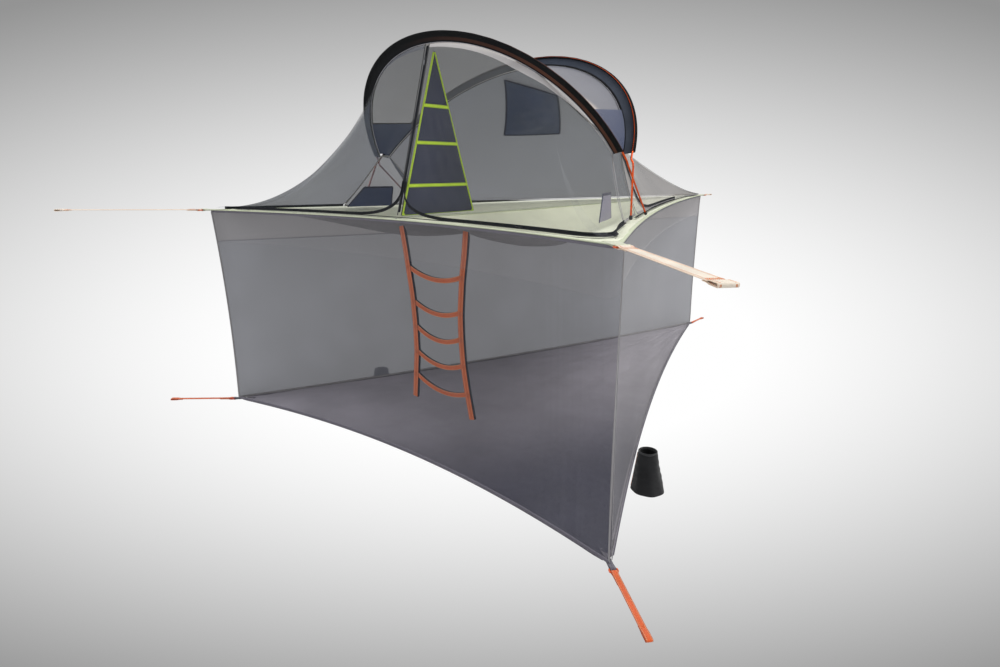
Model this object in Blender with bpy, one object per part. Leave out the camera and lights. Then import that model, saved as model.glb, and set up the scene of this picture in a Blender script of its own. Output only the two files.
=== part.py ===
"""Tree tent: a triangular two-berth upper floor slung from three straps, a canopy on two
crossed arches above it and a walled room with its own floor below it.

Metres, +Z up.  The tent is drawn with the front floor edge along X and the rear corner on +Y,
then moved so that the origin is the point where the three strap lines meet."""

import math

import bmesh
import bpy
import numpy as np
from mathutils import Vector

# ---------------------------------------------------------------- driving dimensions
HALF_BASE = 1.350        # half the distance between the two front corners
APEX_Y = 3.800           # front corners to rear corner
FRONT_SAG = 0.220        # how far the front floor edge curves in
SIDE_SAG = 0.100         # how far each side edge curves in
LOWER_Z = -1.166         # lower floor below the upper floor
LOWER_HALF = 1.345
LOWER_Y0 = 0.054
LOWER_APEX_Y = 3.781
LOWER_FRONT_SAG = 0.165
LOWER_SIDE_SAG = 0.080
HANG_Y = 1.210           # where the three strap lines meet, from the front corners
BERTH_SAG = 0.155        # depth of each berth

POLE_D = 0.0085
ARCH_Y = 0.886           # the line through both pole crossings
ARCH_Z = 0.253
FRONT_TILT = math.radians(35.6)
FRONT_A, FRONT_B, FRONT_HC, FRONT_W = 0.875, 0.826, -0.107, 0.049
REAR_TILT = math.radians(-38.5)
REAR_A, REAR_B, REAR_HC, REAR_W = 0.893, 0.840, -0.100, 0.062
WEB_T = 0.004            # arch sleeve thickness
REAR_FOOT = (0.940, 0.805)
FRONT_FOOT = (0.838, 1.140)

FABRIC_T = 0.0016
FLOOR_T = 0.0030
WEBBING_T = 0.0025
TOP_STRAP_W = 0.050
LOW_STRAP_W = 0.025
STRAP_DIR = (0.744, -0.668)   # pull of the front right strap in plan
STRAP_LENGTHS = {"front_left": 0.81, "front_right": 0.65, "rear": 0.14}
LOW_STRAP_LENGTHS = {"front_left": 0.375, "front_right": 0.345, "rear": 0.25}
ZIP_W = 0.018
GAP = 0.0005

# ---------------------------------------------------------------- scene and materials
for old in list(bpy.data.objects):
    bpy.data.objects.remove(old, do_unlink=True)


def material(name, colour, roughness, metallic=0.0):
    mat = bpy.data.materials.new(name)
    mat.use_nodes = True
    shader = mat.node_tree.nodes["Principled BSDF"]
    shader.inputs["Base Color"].default_value = (*colour, 1.0)
    shader.inputs["Roughness"].default_value = roughness
    shader.inputs["Metallic"].default_value = metallic
    mat.diffuse_color = (*colour, 1.0)
    return mat


CANOPY = material("canopy_fabric", (0.33, 0.35, 0.37), 0.55)
WALL = material("wall_fabric", (0.36, 0.38, 0.39), 0.60)
FLOOR = material("floor_fabric", (0.72, 0.77, 0.55), 0.60)
LOWER = material("lower_floor_fabric", (0.16, 0.15, 0.19), 0.65)
NAVY = material("navy_fabric", (0.05, 0.055, 0.09), 0.70)
LIME = material("lime_webbing", (0.42, 0.62, 0.03), 0.65)
EDGE = material("edge_webbing", (0.66, 0.72, 0.50), 0.70)
ORANGE = material("orange_webbing", (0.75, 0.14, 0.03), 0.65)
CREAM = material("strap_webbing", (0.82, 0.68, 0.52), 0.70)
LADDER = material("ladder_webbing", (0.55, 0.16, 0.05), 0.70)
BLACK = material("black_fabric", (0.012, 0.013, 0.016), 0.60)
POLE = material("pole_coating", (0.60, 0.06, 0.01), 0.35)
RING = material("ring_coating", (0.70, 0.10, 0.02), 0.35, 0.6)
ZIP = material("zip_coil", (0.015, 0.017, 0.022), 0.45)
METAL = material("slider_metal", (0.35, 0.35, 0.36), 0.35, 1.0)
RUBBER = material("cup_rubber", (0.02, 0.02, 0.02), 0.70)

SHIFT = np.array([0.0, -HANG_Y, 0.0])


def add(name, verts, faces, mat, origin=(0.0, 0.0, 0.0), smooth=35.0):
    """One closed mesh, drawn in tent coordinates, with its origin at ``origin``."""
    origin = np.asarray(origin, float)
    mesh = bpy.data.meshes.new(name)
    mesh.from_pydata([tuple(np.asarray(v, float) - origin) for v in verts], [], faces)
    bm = bmesh.new()
    bm.from_mesh(mesh)
    bmesh.ops.remove_doubles(bm, verts=bm.verts, dist=1e-6)
    bmesh.ops.recalc_face_normals(bm, faces=bm.faces)
    if bm.calc_volume(signed=True) < 0:
        bmesh.ops.reverse_faces(bm, faces=bm.faces)
    bm.to_mesh(mesh)
    bm.free()
    obj = bpy.data.objects.new(name, mesh)
    obj.location = Vector(origin + SHIFT)
    mesh.materials.append(mat)
    bpy.context.scene.collection.objects.link(obj)
    if smooth:
        mesh.shade_smooth()
        mesh.set_sharp_from_angle(angle=math.radians(smooth))
    return obj


def union(base, tools):
    """Joins overlapping closed bodies to one."""
    for index, tool in enumerate(tools):
        mod = base.modifiers.new("join%d" % index, "BOOLEAN")
        mod.operation = "UNION"
        mod.solver = "EXACT"
        mod.object = tool
    bpy.context.view_layer.update()
    graph = bpy.context.evaluated_depsgraph_get()
    joined = bpy.data.meshes.new_from_object(base.evaluated_get(graph))
    base.modifiers.clear()
    base.data = joined
    for tool in tools:
        bpy.data.objects.remove(tool, do_unlink=True)
    return base


def unit(v):
    v = np.asarray(v, float)
    return v / np.linalg.norm(v)


# ---------------------------------------------------------------- generic closed solids
def shell(name, grid, thick, mat, origin=(0, 0, 0)):
    """A curved sheet: grid is (rows, columns, 3); thickness is set off along its normals."""
    g = np.asarray(grid, float)
    du = np.gradient(g, axis=0)
    dv = np.gradient(g, axis=1)
    n = np.cross(du, dv)
    size = np.linalg.norm(n, axis=2, keepdims=True)
    n = n / np.maximum(size, 1e-12)
    rows, cols = g.shape[:2]
    top = (g + n * thick / 2).reshape(-1, 3)
    bottom = (g - n * thick / 2).reshape(-1, 3)
    verts = np.concatenate([top, bottom])
    half = rows * cols
    faces = []
    for i in range(rows - 1):
        for j in range(cols - 1):
            a, b = i * cols + j, i * cols + j + 1
            c, d = (i + 1) * cols + j + 1, (i + 1) * cols + j
            # both sides are split along the same, shorter diagonal, so the sheet is as thick everywhere
            if np.linalg.norm(g[i, j] - g[i + 1, j + 1]) <= np.linalg.norm(g[i, j + 1] - g[i + 1, j]) + 1e-6:
                halves = ((a, b, c), (a, c, d))
            else:
                halves = ((a, b, d), (b, c, d))
            for x, y, z in halves:
                faces += [(x, y, z), (half + z, half + y, half + x)]
    rim = [j for j in range(cols)]
    rim += [i * cols + cols - 1 for i in range(1, rows)]
    rim += [(rows - 1) * cols + j for j in range(cols - 2, -1, -1)]
    rim += [i * cols for i in range(rows - 2, 0, -1)]
    for k in range(len(rim)):
        a, b = rim[k], rim[(k + 1) % len(rim)]
        faces.append((b, a, half + a, half + b))
    return add(name, verts, faces, mat, origin)


def sweep(name, points, sides, ups, width, thick, mat, closed=False, origin=(0, 0, 0)):
    """A flat tape: at each point its width lies along ``sides`` and its thickness along ``ups``."""
    p = np.asarray(points, float)
    s = np.array([unit(v) for v in sides])
    u = np.array([unit(v) for v in ups])
    count = len(p)
    verts = []
    for k in range(count):
        for a, b in ((-1, -1), (1, -1), (1, 1), (-1, 1)):
            verts.append(p[k] + s[k] * a * width / 2 + u[k] * b * thick / 2)
    faces = []
    for k in range(count if closed else count - 1):
        m = (k + 1) % count
        for q in range(4):
            r = (q + 1) % 4
            faces.append((4 * k + q, 4 * k + r, 4 * m + r, 4 * m + q))
    if not closed:
        faces.append((3, 2, 1, 0))
        end = 4 * (count - 1)
        faces.append((end, end + 1, end + 2, end + 3))
    return add(name, verts, faces, mat, origin)


def rod(name, points, radius, count, mat, origin=(0, 0, 0)):
    """A round rod along the points."""
    p = np.asarray(points, float)
    t = np.gradient(p, axis=0)
    t = t / np.linalg.norm(t, axis=1, keepdims=True)
    side = unit(np.cross(t[0], (0.0, 0.31, 0.95)))
    verts = []
    for k in range(len(p)):
        side = unit(side - t[k] * np.dot(side, t[k]))
        other = np.cross(t[k], side)
        for q in range(count):
            a = 2 * math.pi * q / count
            verts.append(p[k] + radius * (math.cos(a) * side + math.sin(a) * other))
    faces = []
    for k in range(len(p) - 1):
        for q in range(count):
            r = (q + 1) % count
            faces.append((count * k + q, count * k + r, count * (k + 1) + r, count * (k + 1) + q))
    faces.append(tuple(reversed(range(count))))
    faces.append(tuple(count * (len(p) - 1) + q for q in range(count)))
    return add(name, verts, faces, mat, origin)


def folded_tape(name, path, start, along, across, up, width, thick, mat, origin=(0, 0, 0)):
    """A tape that bends only in the plane of ``along`` and ``up``: path is (s, h) pairs."""
    q = np.asarray(path, float)
    d = np.gradient(q, axis=0)
    d = d / np.linalg.norm(d, axis=1, keepdims=True)
    n = np.stack([-d[:, 1], d[:, 0]], 1)
    along, across, up = unit(along), unit(across), unit(up)
    start = np.asarray(start, float)

    def place(point, w):
        return start + along * point[0] + up * point[1] + across * w

    verts = []
    for k in range(len(q)):
        for a, b in ((-1, -1), (1, -1), (1, 1), (-1, 1)):
            verts.append(place(q[k] + n[k] * b * thick / 2, a * width / 2))
    faces = []
    for k in range(len(q) - 1):
        for c in range(4):
            r = (c + 1) % 4
            faces.append((4 * k + c, 4 * k + r, 4 * (k + 1) + r, 4 * (k + 1) + c))
    faces.append((3, 2, 1, 0))
    end = 4 * (len(q) - 1)
    faces.append((end, end + 1, end + 2, end + 3))
    return add(name, verts, faces, mat, origin)


def prism(name, outline, axis_vec, depth, mat, holes=(), origin=(0, 0, 0)):
    """A flat plate: outline points in space, pushed by ``depth`` along ``axis_vec``.

    With holes the plate is built as a strip between the outline and one hole of equal count."""
    v = unit(axis_vec) * depth
    o = [np.asarray(x, float) for x in outline]
    n = len(o)
    if not holes:
        verts = o + [x + v for x in o]
        faces = [tuple(range(n)), tuple(reversed(range(n, 2 * n)))]
        for k in range(n):
            m = (k + 1) % n
            faces.append((k, m, n + m, n + k))
        return add(name, verts, faces, mat, origin)
    h = [np.asarray(x, float) for x in holes]
    verts = o + [x + v for x in o] + h + [x + v for x in h]
    faces = []
    for k in range(n):
        m = (k + 1) % n
        faces.append((k, m, n + m, n + k))
        faces.append((2 * n + k, 3 * n + k, 3 * n + m, 2 * n + m))
        faces.append((k, 2 * n + k, 2 * n + m, m))
        faces.append((n + k, n + m, 3 * n + m, 3 * n + k))
    return add(name, verts, faces, mat, origin)


def arc(cx, cy, r, a0, a1, steps):
    return [(cx + r * math.cos(a), cy + r * math.sin(a)) for a in np.linspace(a0, a1, steps)]


# ---------------------------------------------------------------- the curves everything hangs on
def front_edge(t, inset=0.0, z=0.0):
    """Front edge of the upper floor, t from the left corner to the right one."""
    return np.array([-HALF_BASE + 2 * HALF_BASE * t,
                     FRONT_SAG * 4 * t * (1 - t) + inset, z])


SIDE_LEN = math.hypot(HALF_BASE, APEX_Y)


def side_edge(t, s, inset=0.0, z=0.0):
    """Side edge, t from the front corner to the rear one; s is +1 right, -1 left."""
    nx, ny = -APEX_Y / SIDE_LEN, -HALF_BASE / SIDE_LEN
    out = SIDE_SAG * 4 * t * (1 - t) + inset
    return np.array([s * (HALF_BASE * (1 - t) + nx * out), APEX_Y * t + ny * out, z])


def lower_front(t, inset=0.0):
    return np.array([-LOWER_HALF + 2 * LOWER_HALF * t,
                     LOWER_Y0 + LOWER_FRONT_SAG * 4 * t * (1 - t) + inset, LOWER_Z])


LOWER_RUN = LOWER_APEX_Y - LOWER_Y0
LOWER_SIDE_LEN = math.hypot(LOWER_HALF, LOWER_RUN)


def lower_side(t, s, inset=0.0):
    nx, ny = -LOWER_RUN / LOWER_SIDE_LEN, -LOWER_HALF / LOWER_SIDE_LEN
    out = LOWER_SIDE_SAG * 4 * t * (1 - t) + inset
    return np.array([s * (LOWER_HALF * (1 - t) + nx * out),
                     LOWER_Y0 + LOWER_RUN * t + ny * out, LOWER_Z])


def arch(front, phi, off=0.0, lift=0.0):
    """A point of an arch. off is set out from the pole line in the plane of the arch,
    lift is set off square to that plane, towards the other arch when positive."""
    if front:
        tilt, a, b, hc = FRONT_TILT, FRONT_A, FRONT_B, FRONT_HC
        normal = np.array([0.0, math.cos(tilt), math.sin(tilt)])
    else:
        tilt, a, b, hc = REAR_TILT, REAR_A, REAR_B, REAR_HC
        normal = -np.array([0.0, math.cos(tilt), math.sin(tilt)])
    x = (a + off) * math.cos(phi)
    h = hc + (b + off) * math.sin(phi)
    return np.array([x, ARCH_Y - h * math.sin(tilt), ARCH_Z + h * math.cos(tilt)]) + normal * lift


def arch_start(front):
    b, hc = (FRONT_B, FRONT_HC) if front else (REAR_B, REAR_HC)
    return math.asin(-hc / b)


# ---------------------------------------------------------------- upper floor
BERTH_INSET = 0.023
CORNER_CUT = 0.045       # share of the front edge that each corner gives up to its webbing loop


def coons(low, high, left, right, us, vs):
    """A patch between four boundary curves, each a function of 0..1."""
    rows = []
    for u in us:
        row = []
        for v in vs:
            p = (1 - v) * low(u) + v * high(u) + (1 - u) * left(v) + u * right(v)
            p = p - ((1 - u) * (1 - v) * low(0.0) + u * (1 - v) * low(1.0)
                     + (1 - u) * v * high(0.0) + u * v * high(1.0))
            row.append(p)
        rows.append(row)
    return np.array(rows)


def side_path(fn, front_point, t0, t1, first):
    """From a point on the front edge across the cut corner, then along the side edge."""
    def path(v):
        if v <= first:
            return front_point + (fn(t0) - front_point) * (v / first)
        return fn(t0 + (t1 - t0) * (v - first) / (1 - first))
    return path


FIRST_V = 0.04
US = np.linspace(0.0, 1.0, 8)
VS = np.array([0.0, FIRST_V, 0.10, 0.17, 0.25, 0.34, 0.45, 0.58, 0.72, 0.86, 1.0])


def berth(s):
    def low(u):
        t = 0.5 + (0.5 - CORNER_CUT) * u
        p = front_edge(t, BERTH_INSET)
        return np.array([max(p[0], 0.028), p[1], 0.0])
    right = side_path(lambda t: side_edge(t, 1, BERTH_INSET), low(1.0), 0.035, 0.955, FIRST_V)
    top = right(1.0)

    def high(u):
        return np.array([0.028 + (top[0] - 0.028) * u, top[1], 0.0])

    def left(v):
        return low(0.0) + (high(0.0) - low(0.0)) * v
    g = coons(low, high, left, right, US, VS)
    for i, u in enumerate(US):
        for j, v in enumerate(VS):
            f = ((v / 0.24) * math.exp(1 - v / 0.24)) ** 1.5 * (1 - v ** 3)
            g[i, j, 2] = -BERTH_SAG * max(0.0, math.sin(math.pi * u ** 0.70)) ** 1.7 * f
            g[i, j, 0] *= s
    return g


shell("floor_left_berth", berth(-1), FLOOR_T, FLOOR)
shell("floor_right_berth", berth(1), FLOOR_T, FLOOR)

strap_y = np.linspace(FRONT_SAG + 0.040, APEX_Y - 0.21, 12)
sweep("floor_centre_strap", [(0, y, 0) for y in strap_y], [(1, 0, 0)] * 12, [(0, 0, 1)] * 12,
      0.050, WEBBING_T, EDGE)

# perimeter webbing: one closed tape round the floor, with a sewn loop at each corner
EDGE_W = 0.030


def loop_points(front_fn, side_fn, inset):
    pts = [front_fn(t, inset) for t in np.linspace(0.02, 0.98, 13)]
    pts += [side_fn(t, 1, inset) for t in np.linspace(0.02, 0.98, 11)]
    pts += [side_fn(t, -1, inset) for t in np.linspace(0.98, 0.02, 11)]
    return np.array(pts)


def perimeter(name, front_fn, side_fn, mat, inset):
    pts = loop_points(front_fn, side_fn, inset)
    nxt, prv = np.roll(pts, -1, axis=0), np.roll(pts, 1, axis=0)
    tangent = nxt - prv
    sides = np.cross(tangent, (0, 0, 1))
    return sweep(name, pts, sides, [(0, 0, 1)] * len(pts), EDGE_W - 0.012, WEBBING_T, mat, closed=True)


def corner_frames(low):
    z = LOWER_Z if low else 0.0
    half = LOWER_HALF if low else HALF_BASE
    y0 = LOWER_Y0 if low else 0.0
    apex = LOWER_APEX_Y if low else APEX_Y
    return {
        "front_left": (np.array([-half, y0, z]), np.array([-STRAP_DIR[0], STRAP_DIR[1], 0.0])),
        "front_right": (np.array([half, y0, z]), np.array([STRAP_DIR[0], STRAP_DIR[1], 0.0])),
        "rear": (np.array([0.0, apex, z]), np.array([0.0, 1.0, 0.0])),
    }


RING_BAR = 0.005
UPPER_RING = (0.064, 0.024)     # across the strap, along it
LOWER_RING = (0.036, 0.022)
INNER_BAR_S = 0.012             # inner bar of the ring, past the corner point


def ring_s(low):
    """Centre lines of the inner and the outer bar, along the pull, from the corner point."""
    size = LOWER_RING if low else UPPER_RING
    return INNER_BAR_S, INNER_BAR_S + size[1] - RING_BAR


for low in (False, True):
    word = "lower_" if low else ""
    name = "lower_perimeter_webbing" if low else "perimeter_webbing"
    base = perimeter(name, lower_front if low else front_edge, lower_side if low else side_edge,
                     EDGE if not low else BLACK, 0.009)
    tools = []
    strap_w = LOW_STRAP_W if low else TOP_STRAP_W
    size = LOWER_RING if low else UPPER_RING
    s_in, s_out = ring_s(low)
    clear = RING_BAR * 0.7072 + GAP + WEBBING_T / 2
    for key, (corner, pull) in corner_frames(low).items():
        across = np.cross((0, 0, 1), pull)
        # a loop of webbing round the inner bar, its two layers sewn together behind it
        wide = size[0] - 2 * RING_BAR - 0.004
        ro, ri = clear + WEBBING_T / 2, clear - WEBBING_T / 2
        arc_a = [math.radians(-90 + 22.5 * k) for k in range(9)]
        outer = [(s_in + ro * math.cos(q), ro * math.sin(q)) for q in arc_a]
        outer += [(s_in - 0.040, 0.0030), (-0.115, 0.0019), (-0.115, -0.0019), (s_in - 0.040, -0.0030)]
        hole = [(s_in + ri * math.cos(q), ri * math.sin(q))
                for q in arc_a + [math.radians(d) for d in (125, 165, 195, 235)]]

        def lay(points):
            return [corner + pull * x + np.array([0, 0, h]) - across * wide / 2 for x, h in points]
        tools.append(prism("tool_" + key, lay(outer), across, wide, EDGE, holes=lay(hole)))
    union(base, tools)

    # rings: one flat rectangular frame of bar per corner
    for key, (corner, pull) in corner_frames(low).items():
        across = np.cross((0, 0, 1), pull)
        mid = corner + pull * (s_in + s_out) / 2
        outer, hole = [], []
        for r, w, l in ((outer, size[0] / 2, (s_out - s_in + RING_BAR) / 2),
                        (hole, size[0] / 2 - RING_BAR, (s_out - s_in - RING_BAR) / 2)):
            rad = 0.006 if r is outer else 0.0015
            for cx, cy, a0 in ((1, 1, 0), (-1, 1, 90), (-1, -1, 180), (1, -1, 270)):
                for k in range(5):
                    a = math.radians(a0 + 22.5 * k)
                    r.append(mid + across * (cx * (w - rad) + rad * math.cos(a))
                             + pull * (cy * (l - rad) + rad * math.sin(a))
                             - np.array([0, 0, RING_BAR / 2]))
        prism(word + "ring_" + key, outer, (0, 0, 1), RING_BAR, RING, holes=hole)

    # straps: folded round the outer bar, sewn back on themselves, an eye at the far end
    for key, (corner, pull) in corner_frames(low).items():
        across = np.cross((0, 0, 1), pull)
        length = (LOW_STRAP_LENGTHS if low else STRAP_LENGTHS)[key]
        back = min(0.07, 0.36 * length)
        eye = min(0.05, 0.24 * length)
        rise = WEBBING_T / 2 + 0.0003
        path = [(s_out + back, -rise), (s_out + 0.016, -rise), (s_out + 0.006, -clear)]
        path += [(s_out + clear * math.cos(a), clear * math.sin(a)) for a in np.linspace(-2.0, -4.3, 8)]
        path += [(s_out + 0.006, clear), (s_out + 0.016, rise)]
        start_eye = s_out + length - eye
        path += [(start_eye - 0.004, rise), (start_eye + 0.012, 0.006)]
        path += [(s_out + length - 0.007 + 0.007 * math.cos(a), 0.007 * math.sin(a))
                 for a in np.linspace(1.3, -1.3, 7)]
        path += [(start_eye + 0.012, -0.006), (start_eye - 0.004, -rise)]
        if s_out + back < start_eye - 0.03:
            path += [(start_eye - 0.022, -rise)]
        folded_tape(word + "strap_" + key if low else "anchor_strap_" + key, path, corner, pull, across,
                    (0, 0, 1), strap_w if not low else strap_w - 0.001, WEBBING_T,
                    CREAM if not low else ORANGE)

# ---------------------------------------------------------------- poles and arch sleeves
POLE_LIFT = WEB_T / 2 + POLE_D / 2 + GAP
POLE_OFF = -0.006


def bezier(p0, p1, p2, p3, count):
    out = []
    for t in np.linspace(0, 1, count):
        out.append((1 - t) ** 3 * p0 + 3 * (1 - t) ** 2 * t * p1 + 3 * (1 - t) * t ** 2 * p2 + t ** 3 * p3)
    return out


def pole_points(front, count=25):
    """Right foot, right crossing, over the arch, left crossing, left foot."""
    start = arch_start(front) + 0.045
    phis = np.linspace(start, math.pi - start, count)
    top = [arch(front, p, POLE_OFF, POLE_LIFT) for p in phis]
    foot = FRONT_FOOT if front else REAR_FOOT
    legs = []
    for s in (1, -1):
        end = np.array([s * foot[0], foot[1], 0.0165])
        first, second = (top[0], top[1]) if s == 1 else (top[-1], top[-2])
        direction = unit(first - second)
        # past the crossing the front pole keeps to the inside and the rear pole to the outside
        cross = np.array([s * ((FRONT_A - 0.010) if front else (REAR_A + 0.002)), ARCH_Y, ARCH_Z])
        down = unit(end - cross)
        leg = bezier(first, first + direction * 0.05, cross - down * 0.03, cross + down * 0.02, 6)
        leg += [cross + down * 0.02 + (end - cross - down * 0.02) * k for k in (0.5, 1.0)]
        legs.append(leg[1:])
    pts = list(reversed(legs[0])) + top + legs[1]
    return np.array(pts)


FRONT_POLE = pole_points(True)
REAR_POLE = pole_points(False)
rod("front_pole", FRONT_POLE, POLE_D / 2, 6, POLE)
rod("rear_pole", REAR_POLE, POLE_D / 2, 6, POLE)

SLEEVE_START = 0.075
for word, front, wide in (("front", True, FRONT_W), ("rear", False, REAR_W)):
    begin = arch_start(front) + SLEEVE_START
    phis = np.linspace(begin, math.pi - begin, 25)
    pts, sides, ups = [], [], []
    tilt = FRONT_TILT if front else REAR_TILT
    normal = np.array([0.0, math.cos(tilt), math.sin(tilt)])
    for p in phis:
        a, b = arch(front, p, 0.004), arch(front, p, -wide)
        pts.append((a + b) / 2)
        sides.append(a - b)
        ups.append(normal)
    sweep(word + "_arch_sleeve", pts, sides, ups, wide + 0.004, WEB_T, BLACK)

# foot cups: a short cup along the end of each pole
for word, pts in (("front", FRONT_POLE), ("rear", REAR_POLE)):
    for side, end, before in (("right", pts[0], pts[1]), ("left", pts[-1], pts[-2])):
        d = unit(end - before)
        a = unit(np.cross(d, (0.2, 1.0, 0.1)))
        b = np.cross(d, a)
        inner_r, outer_r = POLE_D / 2 + 0.0008, POLE_D / 2 + 0.0035
        rings = [(outer_r, 0.0045), (outer_r, -0.0115), (inner_r, -0.0115), (inner_r, 0.0008)]
        verts, faces = [], []
        n = 10
        for r, s in rings:
            for k in range(n):
                ang = 2 * math.pi * k / n
                verts.append(end + d * s + r * (math.cos(ang) * a + math.sin(ang) * b))
        for q in range(3):
            for k in range(n):
                m = (k + 1) % n
                faces.append((q * n + k, q * n + m, (q + 1) * n + m, (q + 1) * n + k))
        faces.append(tuple(range(n)))
        faces.append(tuple(reversed(range(3 * n, 4 * n))))
        add("foot_cup_%s_%s" % (word, side), verts, faces, RUBBER)


# ---------------------------------------------------------------- canopy
def taper(t):
    """Insets shrink towards the rear corner, where the two side edges meet."""
    return min(1.0, (1.0 - t) / 0.12)


def floor_route(w, s, front, inset):
    """Where the canopy meets the floor. w runs 0..1 from the centre line to the pole foot.

    The door side goes from the middle of the front edge out to the corner and back along the
    side edge; the rear side goes from the rear corner along the side edge."""
    foot_t = 0.190 if front else 0.325
    if front:
        corner = 0.60
        if w <= corner:
            k = w / corner
            t = 0.5 + s * 0.5 * k * 0.985
            return front_edge(t, inset)
        k = (w - corner) / (1 - corner)
        return side_edge(0.010 + (foot_t - 0.010) * k, s, inset)
    t = 0.975 - (0.975 - foot_t) * w
    return side_edge(t, s, inset * taper(t))


CANOPY_INSET = 0.062
ZIP_INSET = 0.045
DOOR_CENTRE_X = ZIP_W / 2 + 0.0015


def door_grid(s, nu=17, nv=7, top_gap=0.0035, foot_z=0.016):
    """The door flap: rulings from the sleeve of the front arch down to the floor edge."""
    begin = arch_start(True) + SLEEVE_START + 0.01
    rows = []
    for u in np.linspace(0.0, 1.0, nu):
        phi = math.pi / 2 - (math.pi / 2 - begin) * (u ** 1.05)
        top = arch(True, phi, -FRONT_W - top_gap, -0.004)
        top[0] *= 1.0
        low = floor_route(u, s, True, CANOPY_INSET)
        power = 1.0 + 1.35 * math.exp(-((u - 0.60) / 0.20) ** 2) + 0.35 * max(0.0, u - 0.6)
        row = []
        for v in np.linspace(0.0, 1.0, nv):
            x = s * abs(top[0]) * (1 - v) + low[0] * v
            y = top[1] * (1 - v) + low[1] * v
            z = foot_z + (top[2] - foot_z) * (1 - v) ** power
            if abs(x) < DOOR_CENTRE_X:
                x = s * DOOR_CENTRE_X
            row.append((x, y, z))
        rows.append(row)
    return np.array(rows)


def rear_grid(s, nu=13, nv=9, top_gap=0.0035, foot_z=0.016):
    """Rear canopy half: rulings from the rear arch back and down to the side edge."""
    begin = arch_start(False) + SLEEVE_START + 0.01
    rows = []
    for u in np.linspace(0.0, 1.0, nu):
        phi = math.pi / 2 - (math.pi / 2 - begin) * u
        top = arch(False, phi, -REAR_W - top_gap, -0.004)
        low = floor_route(u, s, False, CANOPY_INSET)
        power = 1.40 + 0.9 * math.sin(math.pi * u) ** 2 * (1 - 0.4 * u)
        row = []
        for v in np.linspace(0.0, 1.0, nv):
            x = s * abs(top[0]) * (1 - v) + low[0] * v
            y = top[1] * (1 - v) + low[1] * v
            z = foot_z + (top[2] - foot_z) * (1 - v) ** power
            if abs(x) < 0.0030:
                x = s * 0.0030
            row.append((x, y, z))
        rows.append(row)
    return np.array(rows)


GUSSET_PHI = {True: 0.52, False: 0.56}   # angle along each arch where the gusset stops


def roof_grid(nu=17, nv=4):
    rows = []
    for u in np.linspace(0.0, 1.0, nu):
        a0, b0 = GUSSET_PHI[True], GUSSET_PHI[False]
        pf = a0 + (math.pi - 2 * a0) * u
        pr = b0 + (math.pi - 2 * b0) * u
        f = arch(True, pf, -FRONT_W - 0.0035, 0.004)
        r = arch(False, pr, -REAR_W - 0.0035, 0.004)
        row = []
        for v in np.linspace(0.0, 1.0, nv):
            p = f * (1 - v) + r * v
            p[2] -= 0.035 * 4 * v * (1 - v) * min(1.0, 6 * min(u, 1 - u))
            p[0] *= 1 - 0.012 * 4 * v * (1 - v)
            row.append(p)
        rows.append(row)
    return np.array(rows)


def gusset_grid(s, nu=5, nv=5):
    """Fills the lens between the arches, then runs down inside the pole legs to the floor."""
    f0 = arch_start(True) + SLEEVE_START + 0.030
    r0 = arch_start(False) + SLEEVE_START + 0.030
    low_f = arch(True, f0, -FRONT_W - 0.010, 0.004)
    low_r = arch(False, r0, -REAR_W - 0.010, 0.004)
    foot_f = side_edge(0.214, 1, 0.100, 0.0085)
    foot_r = side_edge(0.312, 1, 0.098, 0.0085)
    rows = []
    for k in (0.0, 0.25, 0.5, 0.75):
        row = []
        for v in np.linspace(0.0, 1.0, nv):
            p = (foot_f + (low_f - foot_f) * k) * (1 - v) + (foot_r + (low_r - foot_r) * k) * v
            p[0] = s * (p[0] - 0.012 * math.sin(math.pi * k))
            row.append(p)
        rows.append(row)
    for u in np.linspace(0.0, 1.0, nu):
        pf = f0 + (GUSSET_PHI[True] - 0.018 - f0) * u
        pr = r0 + (GUSSET_PHI[False] - 0.018 - r0) * u
        f = arch(True, pf, -FRONT_W - 0.010, 0.004)
        r = arch(False, pr, -REAR_W - 0.010, 0.004)
        row = []
        for v in np.linspace(0.0, 1.0, nv):
            p = f * (1 - v) + r * v
            p[0] -= 0.010 * 4 * v * (1 - v)
            p[0] *= s
            row.append(p)
        rows.append(row)
    return np.array(rows)


DOOR_AXIS = {}
for s, word in ((-1, "left"), (1, "right")):
    # the door turns about a line along the shoulder of the front arch
    a = arch(True, math.pi / 2 - 0.02, -FRONT_W - 0.0035)
    b = arch(True, arch_start(True) + SLEEVE_START + 0.02, -FRONT_W - 0.0035)
    bulge = arch(True, 0.5 * (math.pi / 2 + arch_start(True)), 0.02)
    along = unit(b - a)
    DOOR_AXIS[word] = (bulge * [s, 1, 1], along * [s, 1, 1])
    shell("door_flap_" + word, door_grid(s), FABRIC_T, CANOPY, DOOR_AXIS[word][0])
    shell("rear_canopy_" + word, rear_grid(s), FABRIC_T, CANOPY)
    shell("side_gusset_" + word, gusset_grid(s), FABRIC_T, NAVY)
shell("roof_panel", roof_grid(), FABRIC_T, CANOPY)

# navy panel sewn inside the rear left canopy: its corners as shares across and down the canopy
PANEL = ((0.190, 0.014), (0.012, 0.112), (0.175, 0.272), (0.390, 0.196))
PANEL_IN = unit((0.415, -0.600, -0.683))


def canopy_point(g, u, v):
    i, j = u * (g.shape[0] - 1), v * (g.shape[1] - 1)
    i0, j0 = int(i), int(j)
    fi, fj = i - i0, j - j0
    return (g[i0, j0] * (1 - fi) * (1 - fj) + g[i0 + 1, j0] * fi * (1 - fj)
            + g[i0, j0 + 1] * (1 - fi) * fj + g[i0 + 1, j0 + 1] * fi * fj)


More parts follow.
